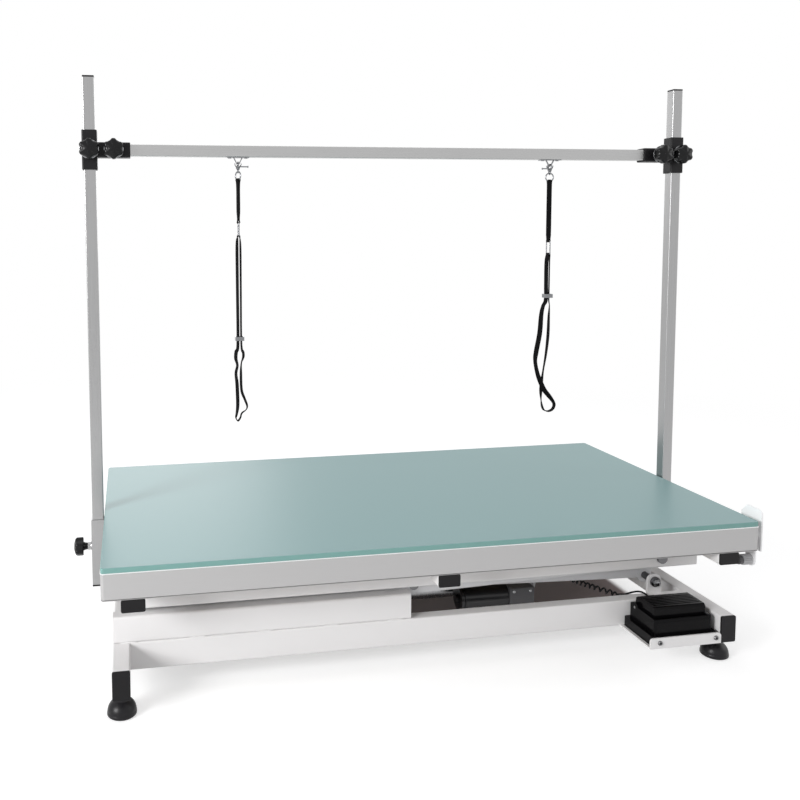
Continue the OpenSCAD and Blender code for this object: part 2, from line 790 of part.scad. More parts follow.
module socket_knob_right() {
    reach = post_x + socket_s / 2 + knob_neck;
    color("black") translate([reach, 0, socket_knob_z]) rotate([0, 90, 0])
        star_knob(knob_neck + socket_wall);
}

module socket_knob_left() {
    mirror([1, 0, 0]) socket_knob_right();
}

// Uprights with their black top plugs
module upright_right() {
    plug = post_s / 2 - post_wall - cap_gap;
    translate([post_x, 0, 0]) {
        color("silver") post_tube(post_s, post_z0, post_top - 3, post_wall);
        color("dimgray") {
            translate([0, 0, post_top - 3]) linear_extrude(3)
                round_rect([-post_s / 2, -post_s / 2], [post_s / 2, post_s / 2], post_r);
            block([-plug, -plug, post_top - 15], [plug, plug, post_top - 3]);
        }
    }
}

module upright_left() {
    mirror([1, 0, 0]) upright_right();
}

// Clamps: an upright sleeve with a crossbar sleeve cast on its inner side
module clamps() {
    half = clamp_s / 2;
    hole = post_s / 2 + slide_gap;
    color("dimgray") both_ends() difference() {
        union() {
            translate([post_x, 0, bar_z - clamp_h / 2]) linear_extrude(clamp_h)
                round_rect([-half, -half], [half, half], clamp_r);
            translate([clamp_x0, 0, bar_z]) rotate([90, 0, 90]) linear_extrude(clamp_len + half)
                round_rect([-half, -half], [half, half], clamp_r);
            for (x = [post_x, clamp_x0 + clamp_len / 2]) bar_y(x, bar_z, -half - 4, -half, hub_d);
        }
        translate([post_x - hole, -hole, bar_z - clamp_h]) cube([2 * hole, 2 * hole, 2 * clamp_h]);
        translate([clamp_x0 - 1, -hole, bar_z - hole]) cube([clamp_len + 1, 2 * hole, 2 * hole]);
        for (x = [post_x, clamp_x0 + clamp_len / 2])
            bar_y(x, bar_z, -half - 5, -hole + 1, stud_d + 2 * run_gap);
    }
}

// A clamp's star knob, facing the front
module front_knob(x) {
    color("black") translate([x, -clamp_s / 2 - 4, bar_z]) rotate([90, 0, 0]) star_knob(clamp_wall + 4);
}

module clamp_knob_left() {
    front_knob(-post_x);
}

module clamp_knob_right() {
    front_knob(post_x);
}

module bar_knob_left() {
    front_knob(-clamp_x0 - clamp_len / 2);
}

module bar_knob_right() {
    front_knob(clamp_x0 + clamp_len / 2);
}

module crossbar() {
    half = post_s / 2;
    color("silver")
        tube_along_x(-bar_half, bar_half, -half, half, bar_z - half, bar_z + half, post_wall, post_r);
}

// Curves: a smooth line through chosen points, read at t from 0 to the last index
function unit(v) = v / norm(v);
function clamp_index(p, i) = p[max(0, min(len(p) - 1, i))];
function curve(p, t) = let (i = min(floor(t), len(p) - 2), u = t - i,
    a = clamp_index(p, i - 1), b = clamp_index(p, i), c = clamp_index(p, i + 1), d = clamp_index(p, i + 2))
    b + u * ((c - a) / 2 + u * (a - 2.5 * b + 2 * c - d / 2 + u * (1.5 * b - a / 2 - 1.5 * c + d / 2)));
function heading(p, i) = unit(clamp_index(p, i + 1) - clamp_index(p, i - 1));

// A solid swept through rings of equally many points, each ring turning round the way ahead
module through_rings(rings) {
    n = len(rings[0]);
    last = len(rings) - 1;
    polyhedron(points = [for (ring = rings) each ring], faces = [
        for (i = [0:last - 1], k = [0:n - 1]) each [
            [i * n + k, (i + 1) * n + k, (i + 1) * n + (k + 1) % n],
            [i * n + k, (i + 1) * n + (k + 1) % n, i * n + (k + 1) % n]],
        for (k = [1:n - 2]) [0, k, k + 1],
        for (k = [1:n - 2]) [last * n, last * n + k + 1, last * n + k]
    ]);
}

// Rings of a round wire: each ring's first arm is the last one's, squared to the new heading
function wire_rings(p, d, sides) = [
    for (i = 0, t = heading(p, 0), arm = unit(cross(t, [0.3, 0.2, 1])); i < len(p);
        i = i + 1, t = heading(p, i), arm = unit(arm - (arm * t) * t))
        [for (k = [0:sides - 1])
            p[i] + d / 2 * (cos(360 * k / sides) * arm + sin(360 * k / sides) * cross(t, arm))]
];

// Rings of flat webbing: its width turns from across the view, at 0, to along Y, at 90
function web_rings(p, w, t) = [for (i = [0:len(p) - 1]) let (
    q = [for (v = p) [v.x, v.y, v.z]], ahead = heading(q, i), flat = unit(cross([0, 1, 0], ahead)),
    wide = unit(cos(p[i][3]) * flat + sin(p[i][3]) * cross(ahead, flat)), thick = cross(ahead, wide))
    [for (c = [[1, 1], [-1, 1], [-1, -1], [1, -1]]) q[i] + c[0] * w / 2 * wide + c[1] * t / 2 * thick]];

// Eyes under the crossbar that the snaps hang from
module at_noose(side) {
    translate([side * noose_x, 0, 0]) children();
}

module noose_eyes() {
    plate_t = 1.5;
    plate_half = 22;
    rivet_x = 16;
    spread = 4.8;
    half = eye_wire / 2;
    rise = bar_under - plate_t + 0.5 - eye_z - eye_r;
    color("silver") for (side = [-1, 1]) at_noose(side) {
        block([-plate_half, -8, bar_under - plate_t], [plate_half, 8, bar_under]);
        for (x = [-rivet_x, rivet_x]) translate([x, 0, bar_under - plate_t - 1.2]) cylinder(d = 6, h = 1.7);
        translate([0, half, eye_z + eye_r]) rotate([90, 0, 0]) linear_extrude(eye_wire) {
            difference() {
                circle(r = eye_r + half);
                circle(r = eye_r - half);
                translate([-2 * eye_r, 0]) square([4 * eye_r, 2 * eye_r]);
            }
            for (x = [-1, 1]) polygon([[x * (eye_r - half), 0], [x * (eye_r + half), 0],
                [x * (eye_r + half + spread), rise], [x * (eye_r - half + spread), rise]]);
        }
    }
}

// Snap hook with its thumb pin, on a hinge at the eye
module snap(side) {
    color("silver") at_noose(side) {
        translate([0, 0, hook_z]) rotate([90, 0, 90]) rotate_extrude()
            translate([hook_r, 0]) circle(d = hook_wire, $fn = 24);
        translate([0, 0, swivel_z + swivel_r + 0.5])
            cylinder(d1 = 6, d2 = 8, h = hook_z - hook_r - swivel_z - swivel_r);
        translate([0, 0, swivel_z]) rotate([90, 0, 90]) rotate_extrude()
            translate([swivel_r, 0]) circle(d = 2.4, $fn = 24);
        translate([0, -hook_r + 1, hook_z - 3.3]) rotate([0, -side * 90, 0]) {
            cylinder(d = 2.4, h = 18);
            translate([0, 0, 18]) cylinder(d = 4, h = 2);
        }
    }
}

module snap_left() {
    snap(-1);
}

module snap_right() {
    snap(1);
}

// Ring above and oblong link below the short strap
module noose_link(side, link_z) {
    half_w = link_w / 2;
    side_t = link_wire + 0.4;
    color("silver") at_noose(side) {
        translate([0, 0, ring_z]) rotate([90, 0, 0]) rotate_extrude()
            translate([ring_r, 0]) circle(d = ring_wire, $fn = 24);
        for (z = [link_z, link_z - link_h]) bar_y(0, z, -half_w, half_w, link_wire);
        for (y = [-half_w, half_w]) block([-side_t / 2, y - side_t / 2, link_z - link_h - side_t / 2],
            [side_t / 2, y + side_t / 2, link_z + side_t / 2]);
    }
}

module noose_link_left() {
    noose_link(-1, left_link_z);
}

module noose_link_right() {
    noose_link(1, right_link_z);
}

// Webbing: a short doubled strap from the ring to the link, and the loop under the link
module noose(side, link_z, loop, turn) {
    fold_gap = 0.1;
    fold_d = link_wire + 2 * (web_t + fold_gap);
    fold_turn = 2 * asin(web_w / 2 / ring_r);
    strap_z = ring_z - ring_r - ring_wire / 2 - fold_gap - 1;
    strap = [[0, 0, strap_z, 0], [0, 0, strap_z - strap_twist_at[0], turn / 2],
        [0, 0, strap_z - strap_twist_at[1], turn], [0, 0, link_z + strap_untwist_at[0], turn],
        [0, 0, link_z + strap_untwist_at[1], 90 - (90 - turn) / 3], [0, 0, link_z + 2, 90]];
    steps = 2;
    color("dimgray") at_noose(side) {
        through_rings(web_rings([for (t = [0:1 / steps:len(strap) - 1]) curve(strap, t)], web_w, 2 * web_t));
        translate([0, 0, ring_z]) rotate([90, 90 + fold_turn / 2, 0]) rotate_extrude(angle = fold_turn)
            translate([ring_r, 0]) difference() {
                circle(d = ring_wire + 2 * (web_t + fold_gap));
                circle(d = ring_wire + 2 * fold_gap);
            }
        for (z = [link_z, link_z - link_h]) difference() {
            bar_y(0, z, -web_w / 2, web_w / 2, fold_d);
            bar_y(0, z, -web_w, web_w, link_wire + 2 * fold_gap);
        }
        translate([0, 0, bar_under])
            through_rings(web_rings([for (t = [0:1 / steps:len(loop) - 1]) curve(loop, t)], web_w, web_t));
    }
}

module noose_left() {
    noose(-1, left_link_z, left_loop, strap_turns[0]);
}

module noose_right() {
    noose(1, right_link_z, right_loop, strap_turns[1]);
}

// Slider round the two legs of a loop
module noose_slider(side, z) {
    half_x = leg_off + web_w / 2 * cos(leg_turn) + web_t / 2 + 0.7;
    half_y = web_w / 2 + 0.8;
    wall = 1.6;
    color("silver") at_noose(side) translate([0, 0, z]) difference() {
        block([-half_x - wall, -half_y - wall, 0], [half_x + wall, half_y + wall, slider_h]);
        block([-half_x, -half_y, -1], [half_x, half_y, slider_h + 1]);
    }
}

module noose_slider_left() {
    noose_slider(-1, left_slider_z);
}

module noose_slider_right() {
    noose_slider(1, right_slider_z);
}

// Foot switch: its tray, housing, treadle and pin
module switch_tray() {
    screw_x = 19;
    lip_r = 6;
    color("whitesmoke") {
        difference() {
            union() {
                block([tray_x0, tray_y0, z_base0], [tray_x1, tray_y1, tray_z1]);
                translate([0, tray_y0 + tray_t, 0]) rotate([90, 0, 0]) linear_extrude(tray_t) {
                    translate([tray_x0, z_base0]) square([tray_w, lip_h - lip_r]);
                    translate([tray_x0 + lip_r, z_base0]) square([tray_w - 2 * lip_r, lip_h]);
                    for (x = [tray_x0 + lip_r, tray_x1 - lip_r])
                        translate([x, z_base0 + lip_h - lip_r]) circle(r = lip_r);
                }
            }
            for (x = [tray_x0 + screw_x, tray_x1 - 11])
                bar_y(x, z_base0 + 11, tray_y0 - 1, tray_y0 + tray_t + 1, 4.2);
        }
    }
    color("silver") for (x = [tray_x0 + screw_x, tray_x1 - 11]) {
        bar_y(x, z_base0 + 11, tray_y0, tray_y0 + tray_t, 4);
        bar_y(x, z_base0 + 11, tray_y0 - 1.8, tray_y0, 7);
    }
}

// A rectangle given by its lowest and highest corners
module block_2d(low, high) {
    translate(low) square(high - low);
}

// A shape drawn in Y and Z, drawn out along X from x0 to x1
module along_x(x0, x1) {
    translate([x0, 0, 0]) rotate([90, 0, 90]) linear_extrude(x1 - x0) children();
}

module switch_housing() {
    pin_r = treadle_pin_d / 2 + run_gap;
    front = switch_y0 + 6;
    rear = switch_y1 - 4;
    flange_r = 5;
    rim_r = 8;
    color("dimgray") difference() {
        union() {
            translate([0, 0, tray_z1]) linear_extrude(flange_h)
                round_rect([switch_x0, switch_y0], [switch_x1, switch_y1], flange_r);
            intersection() {
                translate([0, 0, tray_z1 + flange_h - 1]) linear_extrude(treadle_z1 - tray_z1)
                    round_rect([treadle_x0, front], [treadle_x1, rear], flange_r);
                along_x(treadle_x0, treadle_x1) {
                    block_2d([front, tray_z1], [rear, body_z1 - rim_r]);
                    block_2d([front + rim_r, tray_z1], [rear, body_z1]);
                    translate([front + rim_r, body_z1 - rim_r]) circle(r = rim_r);
                    translate([treadle_pin_y, treadle_pin_z]) circle(r = 9);
                }
            }
            block([entry_x - entry_half, switch_y1 - 12, tray_z1 + flange_h - 1],
                [entry_x + entry_half, switch_y1, cord_over + 5]);
        }
        block([treadle_x0 + body_wall, front + body_wall, tray_z1 + body_floor],
            [treadle_x1 - body_wall, treadle_pin_y + 9.5, treadle_z1 + 1]);
        bar_x(treadle_x0 - 1, treadle_x1 + 1, treadle_pin_y, treadle_pin_z, 2 * pin_r);
    }
}

// A round bar along X
module bar_x(x0, x1, y, z, d) {
    translate([x0, y, z]) rotate([0, 90, 0]) cylinder(d = d, h = x1 - x0);
}

module treadle() {
    side = body_wall + treadle_side;
    front_y = treadle_pin_y - treadle_len;
    pin_r = treadle_pin_d / 2 + run_gap;
    nose_r = 5;
    color("dimgray") difference() {
        along_x(treadle_x0 + side, treadle_x1 - side) {
            translate([treadle_pin_y, treadle_pin_z]) circle(r = 8);
            translate([front_y + nose_r, treadle_z1 - nose_r]) circle(r = nose_r);
            polygon([[treadle_pin_y + 8, treadle_pin_z], [treadle_pin_y + 6, treadle_z1 - 4],
                [treadle_pin_y + 1, treadle_z1], [front_y + nose_r, treadle_z1],
                [front_y + nose_r - 1, treadle_z1 - 2], [front_y, treadle_z1 - nose_r],
                [front_y, body_z1 - 3], [treadle_pin_y, treadle_pin_z - 8]]);
        }
        bar_x(treadle_x0, treadle_x1, treadle_pin_y, treadle_pin_z, 2 * pin_r);
        for (y = [front_y + 9:6:treadle_pin_y - 6])
            block([treadle_x0 + side + 5, y, treadle_z1 - 1],
                [treadle_x1 - side - 5, y + 3, treadle_z1 + 1]);
    }
}

module treadle_pin() {
    color("silver") bar_x(treadle_x0 - 1, treadle_x1 + 1, treadle_pin_y, treadle_pin_z, treadle_pin_d);
}

// Control box on the rear rail, with a mains inlet on its left side
module control_box() {
    inlet_y = (box_y0 + rail_y0) / 2;
    inlet_z = (z_base0 + box_z1) / 2;
    color("black") difference() {
        union() {
            block([box_x0, box_y0 + 3, z_base0 + 3], [box_x1, rail_y0, box_z1]);
            block([box_x0 + 3, box_y0, z_base0 + 6], [box_x1 - 3, rail_y0 - 10, box_z1 - 3]);
            bar_y(gland_x, gland_z, box_y0 - gland_len, box_y0, 11);
        }
        block([box_x0 - 1, inlet_y - 13.5, inlet_z - 10], [box_x0 + 14, inlet_y + 13.5, inlet_z + 10]);
        block([box_x0 - 1, box_y0, box_z1 - 16], [box_x1 + 1, box_y0 + 3.6, box_z1 - 14.8]);
    }
    color("silver") for (y = [-7, 0, 7])
        block([box_x0 + 4, inlet_y + y - 1, inlet_z - 2], [box_x0 + 14, inlet_y + y + 1, inlet_z + 2]);
}

// Curly cord: a helix round its hanging line, then a plain tail over the front rail
module switch_cord() {
    per_curl = 8;
    last = curls * per_curl;
    lead = [gland_x, box_y0 - gland_len, gland_z];
    coil = [for (k = [0:last]) let (t = k / last, u = t * (len(curl_axis) - 1), c = curve(curl_axis, u),
        ahead = unit(curve(curl_axis, min(u + 0.05, len(curl_axis) - 1))
            - curve(curl_axis, max(u - 0.05, 0))),
        side = unit(cross(ahead, [0, 0, 1])), up = cross(side, ahead),
        grow = min(1, k / per_curl, (last - k) / per_curl))
        c + curl_r * grow * (cos(360 * k / per_curl) * side + sin(360 * k / per_curl) * up)];
    tail = [for (t = [0.5:0.5:len(cord_tail) - 1]) curve(cord_tail, t)];
    line = concat([lead, lead - [0, cord_d, 0]], coil, tail);
    near = [for (i = [0:len(coil) - 1], j = [i + 5:min(i + 12, len(coil) - 1)]) norm(coil[i] - coil[j])];
    echo(curly_cord_least_gap = min(near) - cord_d);
    color("black") through_rings(wire_rings(line, cord_d, 6));
}

// Side bracket: a plate on two spacers, with a threaded hub for its small knob
module side_bracket() {
    x0 = top_len / 2 + bracket_off;
    plate_t = 3;
    y0 = -base_y0 + 10;
    y1 = y0 + bracket_w;
    z1 = z_top + bracket_up;
    z0 = z_edge0 - 8;
    chamfer = 15;
    corner = 8;
    tab_z = z0 - 24;
    hub_y = y0 + bracket_w / 2;
    color("whitesmoke") difference() {
        union() {
            translate([x0, 0, 0]) rotate([90, 0, 90]) linear_extrude(plate_t) {
                polygon([[y0, z0], [y1, z0], [y1, z1 - chamfer], [y1 - chamfer, z1], [y0 + corner, z1],
                    [y0, z1 - corner]]);
                translate([y0 + corner, z1 - corner]) circle(r = corner);
                translate([hub_y - 12, tab_z]) square([24, z0 - tab_z]);
                translate([hub_y, tab_z]) circle(r = 12);
            }
            for (y = [y0 + 12, y1 - 12]) bar_x(top_len / 2, x0, y, z_edge0 + 22, 12);
            bar_x(x0 - 6, x0, hub_y, tab_z, 14);
        }
        bar_x(x0 - 7, x0 + plate_t + 1, hub_y, tab_z, 6 + 2 * run_gap);
        block([x0 - 1, y1 - 19, z_top - 10], [x0 + plate_t + 1, y1 - 5, z_top - 6]);
    }
}

module bracket_knob() {
    x0 = top_len / 2 + bracket_off;
    hub_y = -base_y0 + 10 + bracket_w / 2;
    tab_z = z_edge0 - 32;
    color("black") translate([x0 - 6, hub_y, tab_z]) rotate([0, -90, 0]) {
        translate([0, 0, -10]) cylinder(d = 6, h = 11);
        cylinder(d = 14, h = 2);
        translate([0, 0, 2]) linear_extrude(8) {
            circle(r = 9);
            for (a = [0:45:315]) rotate(a) translate([8.6, 0]) circle(r = 1.8);
        }
    }
}

base_cross_beams();
base_long_rails();
base_caps();
rubber_feet();
foot_bolts();
track_front();
track_rear();
pivot_brackets();
lower_pivot_rod();
inner_arms();
inner_cross_member();
inner_pins();
upper_rollers();
outer_arms();
outer_cross_member();
outer_pins();
lower_rollers();
cross_bolts();
gear_housing();
drive_motor();
actuator_tube();
actuator_rod();
top_cross_tubes();
top_caps();
upper_rail_front();
upper_rail_rear();
upper_pivot_rod();
edge_rail_front();
edge_rail_rear();
edge_rails_side();
core_board();
glass_top();
sockets();
socket_knob_left();
socket_knob_right();
upright_left();
upright_right();
clamps();
crossbar();
clamp_knob_left();
clamp_knob_right();
bar_knob_left();
bar_knob_right();
noose_eyes();
snap_left();
snap_right();
noose_link_left();
noose_link_right();
noose_left();
noose_right();
noose_slider_left();
noose_slider_right();
switch_tray();
switch_housing();
treadle();
treadle_pin();
control_box();
switch_cord();
side_bracket();
bracket_knob();
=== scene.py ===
from itertools import accumulate, product

import bpy
import numpy as np
from mathutils import Matrix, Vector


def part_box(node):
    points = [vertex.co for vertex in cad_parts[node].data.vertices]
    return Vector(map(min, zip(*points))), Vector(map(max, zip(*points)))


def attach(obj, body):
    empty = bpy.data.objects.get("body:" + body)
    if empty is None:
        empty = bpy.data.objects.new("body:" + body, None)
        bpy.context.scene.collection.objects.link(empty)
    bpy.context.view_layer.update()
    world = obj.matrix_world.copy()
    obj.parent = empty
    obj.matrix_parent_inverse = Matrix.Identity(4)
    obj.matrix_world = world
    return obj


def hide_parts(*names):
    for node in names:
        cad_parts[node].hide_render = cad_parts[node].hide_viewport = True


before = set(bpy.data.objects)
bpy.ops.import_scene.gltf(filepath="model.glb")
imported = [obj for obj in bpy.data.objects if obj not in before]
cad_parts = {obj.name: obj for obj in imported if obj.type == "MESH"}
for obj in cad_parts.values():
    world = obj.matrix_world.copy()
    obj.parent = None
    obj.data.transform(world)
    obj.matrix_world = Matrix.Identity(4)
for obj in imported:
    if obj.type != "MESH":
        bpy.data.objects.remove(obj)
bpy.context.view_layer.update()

# Camera. It stands in front of the table's left half, a little above the top, and looks nearly level.
# The lens is a plain normal one, and the picture is shifted so that the table fills the square frame.
camera_place = (-0.544, -1.630, 0.803)
yaw, pitch, roll = np.radians((9.44, 4.36, -0.42))
turn = (Matrix.Rotation(-yaw, 4, "Z") @ Matrix.Rotation(np.pi / 2 - pitch, 4, "X")
        @ Matrix.Rotation(roll, 4, "Z"))
camera_data = bpy.data.cameras.new("camera")
camera_data.sensor_width = 36
camera_data.lens = 37.305
camera_data.shift_x = 0.16625
camera_data.shift_y = -0.12625
camera_data.clip_start = 0.05
camera = bpy.data.objects.new("camera", camera_data)
camera.matrix_world = Matrix.Translation(camera_place) @ turn
bpy.context.scene.collection.objects.link(camera)
bpy.context.scene.camera = camera
bpy.context.scene.view_settings.view_transform = "Standard"


# Stage. A wide pale floor under a white surround, with large soft lamps: one high on the left in front,
# weaker ones on the right, above and behind. The floor glows a little, so that it joins the surround, and
# has a painted shadow: a darker patch between the beams and the rails, where little light comes under the
# table.
def output(value):
    """The first output of a shader node; anything else stays as it is."""
    return value.outputs[0] if isinstance(value, bpy.types.Node) else value


def node(tree, kind, inputs=(), **settings):
    """A shader node with its settings; an input is a plain value, an output, or a node's first output."""
    made = tree.nodes.new("ShaderNode" + kind)
    for name, value in settings.items():
        setattr(made, name, value)
    for name, value in dict(inputs).items():
        value = output(value)
        if isinstance(value, bpy.types.NodeSocket):
            tree.links.new(value, made.inputs[name])
        else:
            made.inputs[name].default_value = value
    return made


def math(tree, operation, *values, kind="Math"):
    """A Math or VectorMath node on the values."""
    return node(tree, kind, enumerate(values), operation=operation)


def seen_directly(tree):
    """A mask that is 1 for rays from the camera, a gloss or a clear body, and 0 for those that only light."""
    path = node(tree, "LightPath")
    either = math(tree, "MAXIMUM", path.outputs["Is Camera Ray"], path.outputs["Is Glossy Ray"])
    return math(tree, "MAXIMUM", either, path.outputs["Is Transmission Ray"])


def eased(tree, value, start, end):
    """A value made to run smoothly from 0 at the start to 1 at the end."""
    return node(tree, "MapRange", {"Value": value, "From Min": start, "From Max": end},
                interpolation_type="SMOOTHSTEP")


world = bpy.data.worlds.new("white surround")
bpy.context.scene.world = world
world.use_nodes = True
sky = world.node_tree
sky.nodes.clear()
ambient = node(sky, "Background", {"Color": (0.99, 0.99, 1, 1), "Strength": 0.45})
backdrop = node(sky, "Background", {"Color": (1, 1, 1, 1), "Strength": 1})
surround = node(sky, "MixShader", {0: seen_directly(sky), 1: ambient, 2: backdrop})
node(sky, "OutputWorld", {"Surface": surround})

floor_half = 12
floor_mesh = bpy.data.meshes.new("floor")
floor_mesh.from_pydata([(x * floor_half, y * floor_half, 0) for x, y in ((-1, -1), (1, -1), (1, 1), (-1, 1))],
                       [], [(0, 1, 2, 3)])
floor = bpy.data.objects.new("floor", floor_mesh)
bpy.context.scene.collection.objects.link(floor)
floor_paint = bpy.data.materials.new("pale floor")
floor_paint.use_nodes = True
paint = floor_paint.node_tree
paint.nodes.clear()
floor_place = node(paint, "TexCoord").outputs["Object"]
# Painted shadow: inside this box under the table the floor's colour turns dark brown and its glow fades.
painted_shadow_middle = (-0.0135, 0.09, 0)
painted_shadow_half = (0.556, 0.20, 1)
from_patch = math(paint, "SUBTRACT", floor_place, painted_shadow_middle, kind="VectorMath")
ratio = math(paint, "DIVIDE", from_patch, painted_shadow_half, kind="VectorMath")
share = node(paint, "SeparateXYZ", {0: math(paint, "ABSOLUTE", ratio, kind="VectorMath")})
shade = math(paint, "MULTIPLY", eased(paint, share.outputs[0], 1.02, 0.98),
             eased(paint, share.outputs[1], 1, 0.65))
tone = node(paint, "MixRGB", {"Fac": shade, "Color1": (0.62, 0.62, 0.62, 1),
                              "Color2": (0.24, 0.19, 0.185, 1)})
glow_share = node(paint, "MapRange", {"Value": shade, "To Min": 0.56, "To Max": 0.02})
glow = node(paint, "Emission", {"Color": (1, 1, 1, 1), "Strength": glow_share})
near_floor = node(paint, "AddShader", {0: node(paint, "BsdfDiffuse", {"Color": tone}), 1: glow})
far_floor = node(paint, "Emission", {"Color": (1, 1, 1, 1), "Strength": 1})
distance = math(paint, "LENGTH", floor_place, kind="VectorMath").outputs["Value"]
shown = node(paint, "MixShader", {0: eased(paint, distance, 1.2, 3.2), 1: near_floor, 2: far_floor})
bounce = node(paint, "BsdfDiffuse", {"Color": (0.8, 0.8, 0.8, 1)})
floor_shader = node(paint, "MixShader", {0: seen_directly(paint), 1: bounce, 2: shown})
node(paint, "OutputMaterial", {"Surface": floor_shader})
floor_mesh.materials.append(floor_paint)

lamps = {"key": ((-2.9, -1.95, 1.42), 1.3, 98), "fill": ((3.6, -0.9, 1.7), 2.4, 20),
         "overhead": ((0.2, 0.6, 3.6), 2.6, 24), "rear": ((-0.5, 3.4, 1.5), 1.8, 13)}
aim = np.array([0, 0, 0.35])
for lamp_name, (place, size, power) in lamps.items():
    lamp = bpy.data.lights.new(lamp_name, "AREA")
    lamp.shape = "DISK"
    lamp.size = size
    lamp.energy = power
    lamp_object = bpy.data.objects.new(lamp_name, lamp)
    back = np.array(place) - aim
    lamp_object.location = place
    lamp_object.rotation_euler = (np.arccos(back[2] / np.linalg.norm(back)), 0, np.arctan2(back[0], -back[1]))
    bpy.context.scene.collection.objects.link(lamp_object)


# Switch cord. A black curly cord of soft plastic hangs from the control box's gland under the table and
# reaches the foot switch; its last stretch is plain and lies over the front rail.
def unit(v):
    """Each vector of the array divided by its own length."""
    return v / np.linalg.norm(v, axis=-1, keepdims=True)


def curve(points, t):
    """A smooth line through chosen points, read at t from 0 to the last index.

    Between two points it is the cubic that passes both, with half the way from the point before to the
    point after as its slope at each.
    """
    p = np.asarray(points, float)
    i = np.minimum(np.floor(t).astype(int), len(p) - 2)
    u = (t - i)[:, None]
    a, b, c, d = (p[np.clip(i + k, 0, len(p) - 1)] for k in (-1, 0, 1, 2))
    return b + u * ((c - a) / 2 + u * (a - 2.5 * b + 2 * c - d / 2 + u * (1.5 * b - a / 2 - 1.5 * c + d / 2)))


def heading(path, closed=False):
    """The way ahead at each point: from the point before to the point after, made one long."""
    around = np.pad(path, ((1, 1), (0, 0)), mode="wrap" if closed else "edge")
    return unit(around[2:] - around[:-2])


def skin(rings, loop=False):
    """Points and faces of the surface through rings of equally many points.

    Face (i, k) joins points k and k + 1 of ring i to the same points of ring i + 1. With loop, the last ring
    joins the first; otherwise one face closes each end. All faces turn over if the volume is negative.
    """
    rings = np.asarray(rings, float)
    rows, columns = rings.shape[:2]
    points = rings.reshape(-1, 3)
    i, k = np.meshgrid(np.arange(rows if loop else rows - 1), np.arange(columns), indexing="ij")
    here, there, step = i * columns, (i + 1) % rows * columns, (k + 1) % columns
    quads = np.stack([here + k, here + step, there + step, there + k], -1).reshape(-1, 4)
    ends = [] if loop else [np.arange(columns)[::-1], np.arange(columns) + (rows - 1) * columns]
    volume = 0
    for corners in (quads, *ends):
        p = (points - points.mean(0))[corners]
        volume += (np.cross(p[..., 1:-1, :], p[..., 2:, :]) * p[..., :1, :]).sum()
    faces = quads.tolist() + [ring.tolist() for ring in ends]
    if volume < 0:
        faces = [face[::-1] for face in faces]
    return points, faces


def wire(path, radius, sides=12, closed=False):
    """A round wire along a path: each ring is a circle square to the way ahead.

    A ring's first arm is the last ring's, less its share along the new heading, so that rings don't twist.
    """
    path = np.asarray(path, float)
    way = heading(path, closed)
    first = unit(np.cross(way[0], (0.3, 0.2, 1)))
    arms = list(accumulate(way[1:], lambda arm, t: unit(arm - (arm @ t) * t), initial=first))
    arms = np.array(arms)[:, None]
    turns = np.linspace(0, 2 * np.pi, sides, endpoint=False)[None, :, None]
    radius = np.broadcast_to(radius, len(path))[:, None, None]
    circles = np.cos(turns) * arms + np.sin(turns) * np.cross(way[:, None], arms)
    return skin(path[:, None] + radius * circles, closed)


def piece(name, shells, surface, body, slot, *nodes, marks=()):
    """A shown piece from shells of points and faces, smooth except at edges of more than 35 degrees.

    Flat faces keep their flat shading beside small rounded edges. marks are values for each point.
    """
    mesh = bpy.data.meshes.new(name)
    starts = np.cumsum([0] + [len(points) for points, _ in shells])
    all_faces = [[k + start for k in face] for (_, faces), start in zip(shells, starts) for face in faces]
    mesh.from_pydata(np.concatenate([points for points, _ in shells]).tolist(), [], all_faces)
    mesh.shade_smooth()
    mesh.set_sharp_from_angle(angle=np.radians(35))
    for mark, values in dict(marks).items():
        mesh.attributes.new(mark, "FLOAT", "POINT").data.foreach_set("value", np.asarray(values, np.float32))
    mesh.materials.append(surface)
    made = bpy.data.objects.new(name, mesh)
    bpy.context.scene.collection.objects.link(made)
    made.modifiers.new("flat faces", "WEIGHTED_NORMAL").keep_sharp = True
    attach(made, body)
    if nodes:
        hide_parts(*nodes)


def effect(name, **inputs):
    """A shader node group with these inputs, _ for spaces, that puts out colour, roughness and height."""
    tree = bpy.data.node_groups.new(name, "ShaderNodeTree")
    for input_name, value in inputs.items():
        kind = {4: "Color", 3: "Vector", 1: "Float"}[np.size(value)]
        socket = tree.interface.new_socket(input_name.replace("_", " "), in_out="INPUT",
                                           socket_type="NodeSocket" + kind)
        socket.default_value = value
    for output_name, kind in (("Colour", "Color"), ("Roughness", "Float"), ("Height", "Float")):
        tree.interface.new_socket(output_name, in_out="OUTPUT", socket_type="NodeSocket" + kind)
    return tree, tree.nodes.new("NodeGroupInput").outputs


def puts_out(tree, *results):
    """Links an effect's colour, roughness and height to what it puts out."""
    for socket, result in zip(tree.nodes.new("NodeGroupOutput").inputs, results):
        tree.links.new(output(result), socket)


def spread(tree, middle, value, width):
    """middle plus width times a value that runs from 0 to 1 about a half."""
    return math(tree, "MULTIPLY_ADD", math(tree, "SUBTRACT", value, 0.5), width, middle)


def toned(tree, colour, value, contrast):
    """A colour made lighter or darker by contrast times a value that runs from 0 to 1 about a half."""
    return node(tree, "VectorMath", {0: colour, "Scale": spread(tree, 1, value, contrast)}, operation="SCALE")


def noise(tree, scale, detail, place=None):
    """Noise over the object's own coordinates, or over others."""
    place = place or node(tree, "TexCoord").outputs["Object"]
    return node(tree, "TexNoise", {"Vector": place, "Scale": scale, "Detail": detail})


# Coated skin: soft patches of tone and gloss, and a fine even grain in the surface
coated, given = effect("coated skin", Colour=(1, 1, 1, 1), Tone=0.3, Patch_scale=40, Grain_scale=900,
                       Roughness=0.4, Gloss_spread=0.1)
patches = noise(coated, given["Patch scale"], 3)
puts_out(coated, toned(coated, given["Colour"], patches, given["Tone"]),
         spread(coated, given["Roughness"], patches, given["Gloss spread"]),
         noise(coated, given["Grain scale"], 2))


